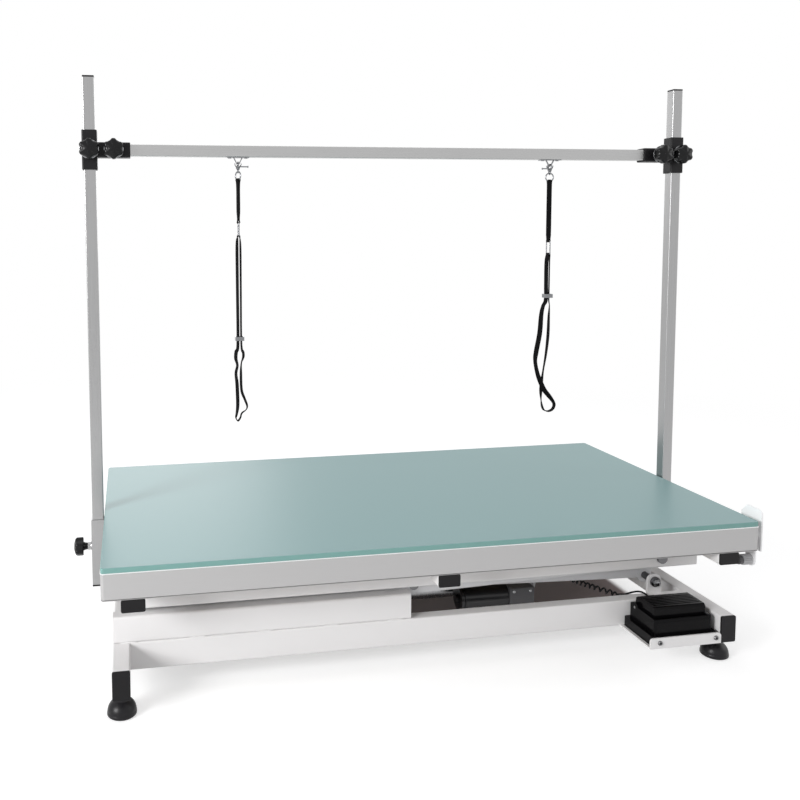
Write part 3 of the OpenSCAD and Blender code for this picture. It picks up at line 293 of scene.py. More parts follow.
def finish(name, effect_tree, bump, **values):
    """A material whose effect feeds the shader's colour and roughness, and a bump of that depth.

    A value goes to the effect's input of its name, _ for spaces, or else to the shader's own.
    """
    material = bpy.data.materials.new(name)
    material.use_nodes = True
    tree = material.node_tree
    shader = tree.nodes["Principled BSDF"]
    placed = node(tree, "Group", node_tree=effect_tree)
    for value_name, value in values.items():
        value_name = value_name.replace("_", " ")
        holder = placed if value_name in placed.inputs else shader
        holder.inputs[value_name].default_value = (*value, 1) if "colour" in value_name.lower() else value
    raised = node(tree, "Bump", {"Height": placed.outputs["Height"], "Distance": bump})
    tree.links.new(placed.outputs["Colour"], shader.inputs["Base Color"])
    tree.links.new(placed.outputs["Roughness"], shader.inputs["Roughness"])
    tree.links.new(raised.outputs[0], shader.inputs["Normal"])
    return material


soft_black = finish("soft black plastic", coated, 0.00005, Colour=(0.006, 0.006, 0.007), Roughness=0.45,
                    Gloss_spread=0.12, Specular_IOR_Level=0.2)
cord_d = 0.0036
cord_curls = 26
curl_r = 0.0042
curl_steps = 24
curl_line = np.array([(352, 86, 89), (350, 42, 86), (349, -3, 84), (350, -48, 85), (354, -92, 87),
                      (374, -128, 87), (404, -163, 85)]) / 1000
cord_tail = np.array([(411, -170, 87), (418, -173, 90), (428, -175, 93), (437, -177, 94.6), (443, -181, 95),
                      (446, -188, 94.5), (446, -196, 94.1), (446, -201, 94.1)]) / 1000
gland_end = np.array([0.352, 0.093, 0.089])
curl_share = np.linspace(0, 1, cord_curls * curl_steps + 1)
last = len(curl_line) - 1
line_at = curl_share * last
line_way = unit(curve(curl_line, np.minimum(line_at + 0.05, last))
                - curve(curl_line, np.maximum(line_at - 0.05, 0)))
line_side = unit(np.cross(line_way, (0, 0, 1)))
curl_turn = 2 * np.pi * cord_curls * curl_share[:, None]
curl_grown = np.minimum(1, np.minimum(curl_share, 1 - curl_share) * cord_curls)[:, None]
curls = curve(curl_line, line_at) + curl_r * curl_grown * (
    np.cos(curl_turn) * line_side + np.sin(curl_turn) * np.cross(line_side, line_way))
tail_path = curve(cord_tail, np.linspace(0, len(cord_tail) - 1, 60)[4:])
cord_path = np.concatenate([[gland_end, gland_end - (0, cord_d, 0)], curls, tail_path])
piece("curly_cord", [wire(cord_path, cord_d / 2, 14)], soft_black, "base", "cord_black", "switch_cord")


# Base frame. Two cross beams and two long rails of thin rectangular steel tube, welded into a ladder and
# powder coated white. The rails' ends butt against the beams, with a small bead of weld round each joint.
def rounded(corners, radius, steps=4):
    """The outline of a polygon with arcs for corners; a radius is one for all or one for each corner.

    An arc's centre lies on both sides' normals, radius in from each; the arc turns from the first side's
    normal to the second's in equal steps. A corner with no radius stays one point.
    """
    p = np.asarray(corners, float)
    radius = np.broadcast_to(radius, len(p)).astype(float)[:, None]
    before, after = unit(p - np.roll(p, 1, 0)), unit(np.roll(p, -1, 0) - p)
    bend = np.arctan2(before[:, 0] * after[:, 1] - before[:, 1] * after[:, 0], (before * after).sum(1))
    inward = np.stack([-before[:, 1], before[:, 0]], 1) * np.sign(bend)[:, None]
    centre = p - before * radius * np.tan(np.abs(bend) / 2)[:, None] + inward * radius
    angle = bend[:, None] * np.linspace(0, 1, steps + 1)
    x, y = -inward[:, :1], -inward[:, 1:]
    arc = np.stack([x * np.cos(angle) - y * np.sin(angle), x * np.sin(angle) + y * np.cos(angle)], -1)
    points = (centre[:, None] + radius[:, None] * arc).reshape(-1, 2)
    return points[np.linalg.norm(points - np.roll(points, 1, 0), axis=1) > 1e-7]


def rectangle(low, high, radius=0.0, steps=4):
    """A rectangle's outline between two corners, with round corners."""
    (a, b), (c, d) = low, high
    return rounded([(a, b), (c, b), (c, d), (a, d)], radius, steps)


def drawn_in(outline, distance):
    """An outline moved inwards: each point along the mean of its two sides' normals."""
    sides = unit(np.roll(outline, -1, 0) - outline)
    normal = np.stack([-sides[:, 1], sides[:, 0]], 1)
    x, y = outline.T
    if (x * np.roll(y, -1) - y * np.roll(x, -1)).sum() < 0:
        normal = -normal
    both = normal + np.roll(normal, 1, 0)
    return outline + distance * 2 * both / np.maximum((both ** 2).sum(1, keepdims=True), 0.5)


def laid(axis, u, v, w):
    """Points from two coordinates across an axis, u and v in the order of x, y and z, and w along it."""
    order = {"x": (1, 2, 0), "y": (0, 2, 1), "z": (0, 1, 2)}[axis]
    points = np.empty(np.broadcast(u, v, w).shape + (3,))
    for column, values in zip(order, (u, v, w)):
        points[..., column] = values
    return points


def levelled(outline, levels, axis, loop=False):
    """The surface through an outline at each level (w, distance): stood at w and drawn in by the distance."""
    return skin([laid(axis, *drawn_in(outline, distance).T, w) for w, distance in levels], loop)


def edged(low, high, edge, steps=3):
    """Levels from low to high whose two ends are rounded over by quarter circles of the edge's radius."""
    t = np.linspace(0, np.pi / 2, steps + 1)
    rise, inset = edge * (1 - np.cos(t)), edge * (1 - np.sin(t))
    return [*zip(low + rise, inset), *zip((high - rise)[::-1], inset[::-1])]


def drawn(outline, low, high, axis="x", edge=0.0004):
    """An outline drawn out along an axis from low to high, with its end edges rounded over."""
    return levelled(outline, edged(low, high, edge), axis)


def tube(outline, wall, low, high, axis="x", edge=0.0003):
    """An open tube: its outside from low to high, an end ring, and its inside back again."""
    levels = ((low, edge), (low + edge, 0), (high - edge, 0), (high, edge), (high, wall), (low, wall))
    return levelled(outline, levels, axis, loop=True)


def moved(shells, *offsets):
    """Copies of the shells at each of the offsets."""
    return [(points + offset, faces) for offset in offsets for points, faces in shells]


def mirrored(shell, column):
    """A shell's mirror image: one coordinate changes its sign and every face turns over."""
    points, faces = shell
    flip = np.ones(3)
    flip[column] = -1
    return points * flip, [face[::-1] for face in faces]


def both(shells, column):
    """The shells and their mirror images."""
    return [*shells, *(mirrored(shell, column) for shell in shells)]


def bead(start, end, radius=0.0016, pitch=0.004):
    """A bead of weld: a wire from start to end whose radius swells and falls with each drop of metal."""
    start, end = np.asarray(start, float), np.asarray(end, float)
    length = np.linalg.norm(end - start)
    t = np.linspace(0, 1, max(int(4 * length / pitch), 3))
    swell = 1 + 0.16 * np.sin(2 * np.pi * t * length / pitch)
    taper = np.minimum(1, 4 * np.minimum(t, 1 - t) + 0.4)
    return wire(start + t[:, None] * (end - start), radius * swell * taper, 8)


white_coat = finish("white powder coat", coated, 0.00004, Colour=(0.80, 0.79, 0.79), Tone=0.03, Patch_scale=5,
                    Roughness=0.36, Gloss_spread=0.08)
tube_wall = 0.002
tube_corner = 0.003
beam_w = 0.030
rail_w = 0.025
(base_x0, beam_y0, base_z0), (base_x1, beam_y1, base_z1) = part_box("base_cross_beams")
(rail_x0, _, _), (rail_x1, rail_rear, _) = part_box("base_long_rails")
rail_in = rail_rear - rail_w
beam = tube(rectangle((base_x0, base_z0), (base_x0 + beam_w, base_z1), tube_corner), tube_wall,
            beam_y0, beam_y1, "y")
piece("base_beams", moved([beam], (0, 0, 0), (base_x1 - beam_w - base_x0, 0, 0)), white_coat, "base",
      "frame_paint", "base_cross_beams")
long_rail = tube(rectangle((rail_in, base_z0), (rail_rear, base_z1), tube_corner), tube_wall, rail_x0,
                 rail_x1)
piece("base_rails", both([long_rail], 1), white_coat, "base", "frame_paint", "base_long_rails")
weld_z = base_z1 - 0.0004
rail_beads = [bead((x, y, base_z0 + tube_corner), (x, y, base_z1 - tube_corner))
              for x in (rail_x0, rail_x1) for y in (rail_in, rail_rear)]
rail_beads += [bead((x, rail_in + tube_corner, weld_z), (x, rail_rear - tube_corner, weld_z))
               for x in (rail_x0, rail_x1)]
piece("base_welds", both(rail_beads, 1), white_coat, "base", "frame_paint")


# Base plugs. Moulded black plastic caps close the four open ends of the cross beams; each has a square
# head the size of the tube with a rounded rim and a stem that grips the inside of the tube.
def plug(low, high, face_y, head_t, stem=0.014):
    """A plug in a tube's front end: a rounded head in front of a narrower stem, both drawn out along y."""
    (a, b), (c, d) = low, high
    gap = tube_wall + 0.0002
    stem_y = face_y + head_t
    inside = rectangle((a + gap, b + gap), (c - gap, d - gap), 0.0015)
    return [drawn(rectangle(low, high, tube_corner), face_y, stem_y, "y", 0.0009),
            drawn(inside, stem_y, stem_y + stem, "y", 0.0005)]


moulded_black = finish("moulded black plastic", coated, 0.00008, Colour=(0.0065, 0.006, 0.007), Tone=0.25,
                       Patch_scale=30, Grain_scale=1500, Roughness=0.42, Gloss_spread=0.14,
                       Specular_IOR_Level=0.22)
cap_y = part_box("base_caps")[0].y
caps = [shell for x in (base_x0, base_x1 - beam_w)
        for shell in plug((x, base_z0), (x + beam_w, base_z1), cap_y, beam_y0 - cap_y)]
piece("base_plugs", both(caps, 1), moulded_black, "base", "black_plastic", "base_caps")


# Feet. Four turned rubber feet, domed and widest just above the floor, stand under the ends of the cross
# beams; each is held by a bolt from below.
def turned(profile, centre, axis="z", around=48):
    """A surface of revolution: each (radius, level) point of the profile goes round the axis at centre."""
    profile = np.asarray(profile, float)
    angle = np.linspace(0, 2 * np.pi, around, endpoint=False)
    radius = np.maximum(profile[:, :1], 0.00004)
    u, v = centre[0] + radius * np.cos(angle), centre[1] + radius * np.sin(angle)
    return skin(laid(axis, u, v, profile[:, 1:]))


def disc(radius, start, end, centre, axis="y", arcs=(0, 0), around=48):
    """A round bar or washer about an axis from start to end, with arcs for its two rims."""
    profile = [(0, start), (radius, start), (radius, end), (0, end)]
    return turned(rounded(profile, (0, *arcs, 0)), centre, axis, around)


rubber = finish("black rubber", coated, 0.0001, Colour=(0.006, 0.0055, 0.007), Patch_scale=25,
                Grain_scale=700, Roughness=0.34, Gloss_spread=0.12, Specular_IOR_Level=0.27)
foot_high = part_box("rubber_feet")[1]
foot_r = foot_high.x - base_x1 + beam_w / 2
foot_inset = 0.036
neck_r = 0.0135
dome_z = 0.0078
dome_h = 0.0215
dome_turn = np.linspace(0, np.arccos(neck_r / foot_r), 18)
dome = zip((foot_r - 0.0006) * np.cos(dome_turn), dome_z + dome_h * np.sin(dome_turn))
foot_profile = [(0, 0.014), (0.008, 0.014), (0.008, 0), (foot_r - 0.003, 0), (foot_r, 0.0022),
                (foot_r, 0.0066), *dome, (neck_r, foot_high.z), (0, foot_high.z)]
foot_arcs = [0, 0, 0.0005, 0.0015, 0.0015, 0.0005] + [0] * len(dome_turn) + [0.0004, 0]
foot = turned(rounded(foot_profile, foot_arcs), (0, 0), around=72)
foot_places = [(x, y, 0) for x in (base_x0 + beam_w / 2, base_x1 - beam_w / 2)
               for y in (cap_y + foot_inset, -cap_y - foot_inset)]
piece("feet", moved([foot], *foot_places), rubber, "base", "foot_rubber", "rubber_feet")


# Foot bolts. Zinc plated hexagon bolts that hold the feet: their heads lie deep in the rubber, and their
# nuts are inside the beams.
def dressed(slot, surface, edge, *cad_names):
    """CAD pieces that stay as they are, with their material, and sharp edges broken by a small radius."""
    for cad_name in cad_names:
        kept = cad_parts[cad_name]
        for place in kept.material_slots:
            place.material = surface
        kept.modifiers.new("joined faces", "WELD").merge_threshold = 0.00002
        broken = kept.modifiers.new("broken edges", "BEVEL")
        broken.width = edge
        broken.segments = 2
        broken.limit_method = "ANGLE"
        broken.angle_limit = np.radians(35)
        kept.modifiers.new("flat faces", "WEIGHTED_NORMAL").keep_sharp = True


# Brushed metal: fine lines of tone and roughness that are stretched out along one axis
brushed, given = effect("brushed metal", Colour=(0.6, 0.6, 0.6, 1), Line_scale=(60, 1200, 1200), Tone=0.14,
                        Roughness=0.3, Gloss_spread=0.16)
line_place = math(brushed, "MULTIPLY", node(brushed, "TexCoord").outputs["Object"], given["Line scale"],
                  kind="VectorMath")
lines = noise(brushed, 1, 4, line_place)
puts_out(brushed, toned(brushed, given["Colour"], lines, given["Tone"]),
         spread(brushed, given["Roughness"], lines, given["Gloss spread"]), lines)

zinc_bright = finish("zinc plated steel", brushed, 0.00002, Colour=(0.40, 0.405, 0.415),
                     Line_scale=(90, 90, 90), Tone=0.2, Roughness=0.27, Metallic=1)
zinc_dull = finish("dull zinc fasteners", brushed, 0.00002, Colour=(0.15, 0.15, 0.155),
                   Line_scale=(140, 140, 140), Tone=0.3, Roughness=0.34, Metallic=1)
dressed("bright_steel", zinc_bright, 0.0006, "foot_bolts")


# Roller channels. Folded steel channels stand on the long rails, open towards the middle; the lower
# rollers run in them. Their webs face out, and short beads of weld hold them to the rails.
def channel(low, high, wall=0.003):
    """A channel's front one, drawn out along x: its web on the outer side, its flanges turned in."""
    a, b, c, d = low.y, low.z, high.y, high.z
    section = rounded([(a, b), (c, b), (c, b + wall), (a + wall, b + wall), (a + wall, d - wall),
                       (c, d - wall), (c, d), (a, d)],
                      (0.0042, 0.0012, 0.0012, 0.0014, 0.0014, 0.0012, 0.0012, 0.0042))
    return drawn(section, low.x, high.x)


def front_and_rear(names, shell, surface, body, slot, cad_names):
    """A front piece and its mirror image behind; their names have front or rear where * stands."""
    for side, made in (("front", shell), ("rear", mirrored(shell, 1))):
        piece(names.replace("*", side), [made], surface, body, slot, cad_names.replace("*", side))


track_low, track_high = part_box("track_front")
front_and_rear("track_channel_*", channel(track_low, track_high), white_coat, "base", "frame_paint",
               "track_*")
weld_y = track_low.y + 0.0012
track_beads = [bead((x, weld_y, base_z1), (x + 0.03, weld_y, base_z1), 0.0013)
               for x in np.linspace(track_low.x + 0.012, track_high.x - 0.045, 5)]
piece("track_welds", both(track_beads, 1), white_coat, "base", "frame_paint")


# Lower pivots. Two welded ears with round tops stand on the long rails and carry a rod across the table;
# outside each ear the rod ends in a hexagon nut.
def middle_of(cad_name):
    """The middle of a CAD piece's box."""
    return [(a + b) / 2 for a, b in zip(*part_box(cad_name))]


def nut(centre, across, start, end, bolt_r, axis="y"):
    """A hexagon nut with chamfered corners, and the rounded end of its bolt; across is flat to flat."""
    corner = np.radians(np.arange(0, 360, 60))
    flats = np.stack([np.cos(corner), np.sin(corner)], 1) * across / np.sqrt(3) + centre
    step = 0.0015 if end > start else -0.0015
    stub = [(0, start), (bolt_r, start), (bolt_r, end + step - step / 3), (bolt_r * 0.7, end + step),
            (0, end + step)]
    return [drawn(rounded(flats, 0.0006), min(start, end), max(start, end), axis, 0.0009),
            turned(stub, centre, axis, 24)]


dressed("frame_paint", white_coat, 0.0008, "pivot_brackets")
dressed("bright_steel", zinc_dull, 0.0008, "lower_pivot_rod")
pivot_x, _, low_z = middle_of("lower_pivot_rod")
rod_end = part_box("lower_pivot_rod")[0].y
piece("lower_pivot_nuts", both(nut((pivot_x, low_z), 0.013, rod_end, rod_end - 0.006, 0.004), 1), zinc_bright,
      "base", "bright_steel")

# Scissor arms. Two crossed pairs of rectangular tubes, the outer pair's lower ends on rollers at the left
# and the inner pair's upper ends above them. Round bosses carry the rods; the tubes' ends are closed.
arm_half = 0.495
arm_end = 0.016
arm_h = 0.038
arm_w = 0.020
arm_drop = np.arcsin(0.012 / arm_half)
boss_r = 0.015
bush_r = 0.011
high_z = middle_of("upper_pivot_rod")[2]
rest_tilt = np.arcsin((high_z - low_z) / (2 * arm_half))
cross_x = pivot_x - arm_half * np.cos(rest_tilt)
cross_z = (low_z + high_z) / 2


def tilted(shell, angle):
    """A shell turned about y: x = x cos a - z sin a, z = x sin a + z cos a."""
    (x, y, z), (c, s) = shell[0].T, (np.cos(angle), np.sin(angle))
    return np.stack([x * c - z * s, y, x * s + z * c], 1), shell[1]


def arm(y0, y1):
    """An arm in its own frame: a rounded tube that dips to the right, its bosses and its middle bush."""
    reach = arm_half + arm_end
    bar = drawn(rectangle((y0, -arm_h / 2), (y1, arm_h / 2), 0.004), -reach, reach, "x", 0.0014)
    bosses = [disc(boss_r, y0 - 0.0006, y1 + 0.0006, (x, 0), arcs=(0.0008, 0.0008))
              for x in (-arm_half, arm_half)]
    bush = disc(bush_r, y0 - 0.0005, y1 + 0.0005, (0, 0), arcs=(0.0006, 0.0006))
    return [tilted(bar, -arm_drop), *bosses, bush]


arm_coat = finish("pale grey powder coat", coated, 0.00004, Colour=(0.66, 0.66, 0.67), Tone=0.04,
                  Patch_scale=6, Roughness=0.38)
for pair, leans_left in (("outer", False), ("inner", True)):
    arm_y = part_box(pair + "_arms")[0].y
    arms = [tilted(shell, rest_tilt) for shell in both(arm(arm_y, arm_y + arm_w), 1)]
    if leans_left:
        arms = [mirrored(shell, 0) for shell in arms]
    piece(pair + "_arm_tubes", moved(arms, (cross_x, 0, cross_z)), arm_coat, pair + "_frame", "arm_paint",
          pair + "_arms")
dressed("arm_paint", arm_coat, 0.0008, "outer_cross_member", "inner_cross_member")
dressed("bright_steel", zinc_dull, 0.0006, "outer_pins", "inner_pins")
dressed("bright_steel", zinc_dull, 0.0008, "cross_bolts")

# Rollers. White nylon rollers turn on the ends of the rods, in the channels on the base and in those
# under the top; a shallow ring is turned in each inner face.
nylon = finish("white nylon", coated, 0.00005, Colour=(0.62, 0.61, 0.58), Tone=0.06, Patch_scale=60,
               Grain_scale=1200, Roughness=0.42, Subsurface_Weight=0.1, Subsurface_Scale=0.004)
dressed("nylon_roller", nylon, 0.0006, "lower_rollers", "upper_rollers")


# Actuator. A cast gear housing with a black motor beside it, a silver tube with a collar, and a bright rod
# whose fork pulls on the drive pin of the other frame.
def screws(centres, face, out, radius, axis):
    """Button-head screws on a face, out of it by the sign of out, with round sockets in their middles."""
    rise = out * 0.45 * radius
    profile = np.array([(0, 0.25), (0.4, 0.25), (0.4, 1), (0.75, 1), (1, 0.3), (1, -0.3), (0, -0.3)])
    arcs = np.array((0, 0, 0.06, 0.15, 0.1, 0, 0))
    head = rounded(profile * (radius, rise) + (0, face), arcs * radius)
    return [turned(head, centre, axis, 28) for centre in centres]


cast_grey = finish("cast grey housing", coated, 0.00018, Colour=(0.09, 0.09, 0.095), Tone=0.2,
                   Grain_scale=800, Roughness=0.5, Gloss_spread=0.12)
motor_coat = finish("black motor enamel", coated, 0.00003, Colour=(0.01, 0.01, 0.012), Patch_scale=30,
                    Grain_scale=600, Roughness=0.3)
dressed("cast_grey", cast_grey, 0.002, "gear_housing")
dressed("motor_black", motor_coat, 0.0012, "drive_motor")
housing_low, housing_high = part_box("gear_housing")
cover_places = product((housing_low.x + 0.008, housing_low.x + 0.044),
                       (housing_low.z + 0.010, housing_high.z - 0.010))
piece("gear_cover_screws", screws(cover_places, housing_low.y, -1, 0.0032, "y"), zinc_bright, "actuator_body",
      "bright_steel")
dressed("bright_steel", zinc_bright, 0.0008, "actuator_tube", "actuator_rod")

# Table frame. Three rectangular cross tubes under the top with black plugs in their ends, and two channels
# along the long sides that hang from them, for the upper rollers and the upper pivot rod.
tube_low, tube_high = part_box("top_cross_tubes")
tube_w = 0.040
tube_xs = [tube_low.x, (tube_low.x + tube_high.x - tube_w) / 2, tube_high.x - tube_w]
top_tubes = [tube(rectangle((x, tube_low.z), (x + tube_w, tube_high.z), tube_corner), tube_wall, tube_low.y,
                  tube_high.y, "y") for x in tube_xs]
piece("top_frame_tubes", top_tubes, white_coat, "table_top", "frame_paint", "top_cross_tubes")
front_and_rear("upper_channel_*", channel(*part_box("upper_rail_front")), white_coat, "table_top",
               "frame_paint", "upper_rail_*")
top_plug_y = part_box("top_caps")[0].y
top_plugs = [shell for x in tube_xs
             for shell in plug((x, tube_low.z), (x + tube_w, tube_high.z - 0.0022), top_plug_y,
                               tube_low.y - top_plug_y)]
dressed("bright_steel", zinc_dull, 0.0008, "upper_pivot_rod")


# Sockets. A square steel tube on each short side of the top takes an upright; a round boss on its outer
# side holds the star knob's thread, and a black plug closes it from below.
def square(x, half, radius=0.0016):
    """The outline of a square with round corners, x to the right and half its side each way."""
    return rectangle((x - half, -half), (x + half, half), radius)


socket_low, socket_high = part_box("sockets")
socket_half = 0.0133
socket_wall = 0.002
post_half = 0.011
post_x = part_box("upright_right")[0].x + post_half
socket_knob_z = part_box("socket_knob_right")[0].z + 0.018
brushed_upright = finish("brushed steel upright", brushed, 0.00001, Colour=(0.38, 0.38, 0.382),
                         Line_scale=(1500, 1500, 14), Metallic=1)
socket_tube = tube(square(post_x, socket_half), socket_wall, socket_low.z, socket_high.z, "z", 0.0005)
boss_x = post_x + socket_half
boss_profile = [(0.0041, boss_x - 0.001), (0.0085, boss_x - 0.001), (0.0075, boss_x + 0.002),
                (0.0075, socket_high.x), (0.0041, socket_high.x)]
socket_boss = turned(rounded(boss_profile, (0, 0.0002, 0.001, 0.0008, 0)), (0, socket_knob_z), "x")
piece("socket_tubes", both([socket_tube, socket_boss], 0), brushed_upright, "table_top", "bright_tube",
      "sockets")
plug_stem = square(post_x, socket_half - socket_wall - 0.0002, 0.0012)
bottom_plug = [drawn(square(post_x, socket_half), socket_low.z - 0.003, socket_low.z, "z", 0.0008),
               drawn(plug_stem, socket_low.z, socket_low.z + 0.012, "z", 0.0005)]
piece("top_frame_plugs", both(top_plugs, 1) + both(bottom_plug, 0), moulded_black, "table_top",
      "black_plastic", "top_caps")


# Board. Extruded aluminium rails with a fine groove near the bottom run round a core board, which shows
# from below; a lip on them, much paler than the rails as a painted highlight, holds the glass, and the
# rails' outer corners are rounded like the glass.
def satin(name, line_scale):
    """Satin anodised aluminium, whose fine lines run the way in which the line scale is smallest."""
    return finish(name, brushed, 0.00001, Colour=(0.455, 0.45, 0.45), Line_scale=line_scale, Tone=0.06,
                  Roughness=0.38, Gloss_spread=0.12, Metallic=0.5)


edge_low, edge_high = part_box("edge_rail_front")
side_low, side_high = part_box("edge_rails_side")
edge_w = 0.020
corner_r = 0.006
lip_out = 0.0008
lip_z = edge_high.z - 0.0019
skirt_z = edge_low.z - 0.002
groove_z = skirt_z + 0.0010
groove_depth = 0.0028
rail_levels = [(skirt_z, 0.0005), (skirt_z + 0.0005, 0), (groove_z, 0), (groove_z + 0.0001, groove_depth),
               (groove_z + 0.0012, groove_depth), (groove_z + 0.0013, 0), (lip_z - 0.0003, 0),
               (lip_z, 0.0003)]
front_plan = rectangle(edge_low.xy, (edge_high.x, edge_low.y + edge_w),
                       (corner_r, corner_r, 0.0003, 0.0003), 6)
front_and_rear("*_edge_rail", levelled(front_plan, rail_levels, "z"),
               satin("satin anodised aluminium", (12, 1500, 1500)), "table_top", "edge_aluminium",
               "edge_rail_*")
side_rail = levelled(rectangle((side_high.x - edge_w, side_low.y), side_high.xy, 0.0003), rail_levels, "z")
piece("side_edge_rails", both([side_rail], 0), satin("satin anodised side rail", (1500, 12, 1500)),
      "table_top", "edge_aluminium", "edge_rails_side")
lip_plan = rectangle((edge_low.x - lip_out, edge_low.y - lip_out),
                     (edge_high.x + lip_out, lip_out - edge_low.y), corner_r)
# The lip is coloured far paler than the rails: a painted highlight along the edge under the glass.
lip_painted_highlight = finish("aluminium lip with painted highlight", coated, 0.00001, Colour=(0.86, 0.87, 0.87), Tone=0.05,
                    Patch_scale=9, Roughness=0.3, Metallic=0.35)
piece("edge_lips", [tube(lip_plan, 0.004, lip_z, edge_high.z, "z", 0.0009)], lip_painted_highlight, "table_top",
      "edge_aluminium")
birch = finish("birch core board", brushed, 0.00004, Colour=(0.42, 0.32, 0.21), Line_scale=(9, 160, 160),
               Tone=0.4, Roughness=0.7, Gloss_spread=0.1, Specular_IOR_Level=0.2)
dressed("core_wood", birch, 0.0005, "core_board")

# Glass. A satin glass plate with a polished arris all round lies on the board: pale teal from above, and a
# deeper green at its edge, where the light comes through its whole width.
glass_body, given = effect("glass body", Face_colour=(0.2, 0.34, 0.34, 1), Edge_colour=(0.1, 0.3, 0.25, 1),
                           Tone=0.03, Roughness=0.36, Edge_roughness=0.2)
at_edge = node(glass_body, "Attribute", attribute_name="side").outputs["Fac"]
etching = noise(glass_body, 1400, 2)
face_tone = toned(glass_body, given["Face colour"], noise(glass_body, 3, 3), given["Tone"])
through = node(glass_body, "Mix", {"Factor": at_edge, 6: face_tone, 7: given["Edge colour"]},
               data_type="RGBA")
polish = node(glass_body, "Mix", {"Factor": at_edge, 2: given["Roughness"], 3: given["Edge roughness"]})
puts_out(glass_body, through.outputs[2], polish, etching)
satin_glass = finish("satin green glass", glass_body, 0.00001, Face_colour=(0.212, 0.35, 0.355),
                     Edge_colour=(0.165, 0.335, 0.31), Edge_roughness=0.22)
glass_low, glass_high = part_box("glass_top")
glass_levels = [(glass_low.z, 0.0004), (glass_low.z + 0.0004, 0), (glass_high.z - 0.0012, 0),
                (glass_high.z - 0.0006, 0.0004), (glass_high.z, 0.0013)]
side_marks = (1, 1, 1, 0.8, 0)
glass_plan = rectangle(glass_low.xy, glass_high.xy, corner_r)
piece("glass_plate", [levelled(glass_plan, glass_levels, "z")], satin_glass, "table_top", "frosted_glass",
      "glass_top", marks={"side": np.repeat(side_marks, len(glass_plan))})


# Star knobs. Black moulded knobs with six lobes and a slightly domed face clamp the uprights in their
# sockets and the crossbar in its clamps, the latter with a zinc washer; each sits on a short neck.
def star(size, neck_end=0.008, reach=0.0245, around=96, rows=7):
    """A star knob whose face looks along +z, from its neck at 0 to its face at reach.

    Its radius is 16.8 mm - 1.4 mm cos(6 a), a little squared off, so that the lobes are wide and the
    hollows narrow, all times its size. The rim is rounded by quarter circles, and the face rises to a dome.
    """
    a = np.linspace(0, 2 * np.pi, around, endpoint=False)
    swing = -np.cos(6 * a)
    radius = size * (0.0168 + 0.0014 * np.sin(swing * np.pi / 2 * 0.9) / np.sin(np.pi / 2 * 0.9))
    t = np.linspace(0, np.pi / 2, rows)
    rings = [(0.0064 + 0 * a, 0.0), (0.0072 + 0 * a, neck_end * 0.6), (0.0086 + 0 * a, neck_end)]
    rings += [(radius - 0.002 * (1 - np.sin(k)), neck_end + 0.002 * (1 - np.cos(k))) for k in t]
    rings += [(radius - 0.006 * (1 - np.sin(k)), reach - 0.006 * (1 - np.cos(k))) for k in t[::-1]]
    rings += [((radius - 0.006) * share, reach + 0.0022 * (1 - share ** 2))
              for share in (0.9, 0.7, 0.5, 0.3, 0.1)]
    return skin([np.stack([r * np.cos(a), r * np.sin(a), 0 * a + z], 1) for r, z in rings])


def facing(shell, place, way):
    """A shell that looks along +z turned to look along an axis, such as -y, and moved to its place."""
    points, faces = shell
    x, y, z = points.T
    turned_points = {"+x": (z, x, y), "-x": (-z, -x, y), "-y": (x, -z, y)}[way]
    return np.stack(turned_points, 1) + place, faces


knob_black = finish("glossy black knob", coated, 0.00004, Colour=(0.005, 0.005, 0.0055), Patch_scale=50,
                    Grain_scale=1200, Roughness=0.22, Gloss_spread=0.08, Specular_IOR_Level=0.22)
knob_depth = 0.024
clamp_star_size = 1.08
stud_r = 0.004
washer_r = 0.0182
washer_in = 0.0065
washer_t = 0.0013
for side, sign, way in (("left", -1, "-x"), ("right", 1, "+x")):
    knob = "socket_knob_" + side
    knob_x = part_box(knob)[sign > 0].x - sign * knob_depth
    stud = disc(stud_r, knob_x - sign * 0.010, knob_x + sign * 0.002, (0, socket_knob_z), "x", around=24)
    piece("socket_star_" + side, [facing(star(1), (knob_x, 0, socket_knob_z), way), stud], knob_black, knob,
          "black_plastic", knob)
for knob in ("clamp_knob_left", "clamp_knob_right", "bar_knob_left", "bar_knob_right"):
    knob_low, knob_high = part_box(knob)
    knob_x, _, knob_z = middle_of(knob)
    knob_y = knob_low.y + knob_depth
    stud = disc(stud_r, knob_high.y, knob_y - 0.002, (knob_x, knob_z), around=24)
    piece(knob.replace("knob", "star"), [facing(star(clamp_star_size), (knob_x, knob_y, knob_z), "-y"), stud],
          knob_black, knob, "black_plastic", knob)
    washer_y = knob_y - washer_in
    washer = disc(washer_r, washer_y, washer_y - washer_t, (knob_x, knob_z), arcs=(0.0004, 0.0004))
    piece(knob.replace("knob", "washer"), [washer], zinc_bright, knob, "bright_steel")


# Uprights. Square tubes of brushed steel with small rounded corners stand in the sockets; a black plug
# closes each at the top.
post_wall = 0.0015
for side, sign in (("left", -1), ("right", 1)):
    post = "upright_" + side
    post_low, post_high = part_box(post)
    head_z = post_high.z - 0.003
    section = square(sign * post_x, post_half)
    piece("post_" + side, [tube(section, post_wall, post_low.z, head_z, "z")], brushed_upright, post,
          "bright_tube", post)
    stem = square(sign * post_x, post_half - post_wall - 0.0002, 0.0015)
    piece("post_plug_" + side, [drawn(section, head_z, post_high.z, "z", 0.001),
                                drawn(stem, head_z - 0.012, head_z, "z")],
          moulded_black, post, "black_plastic")


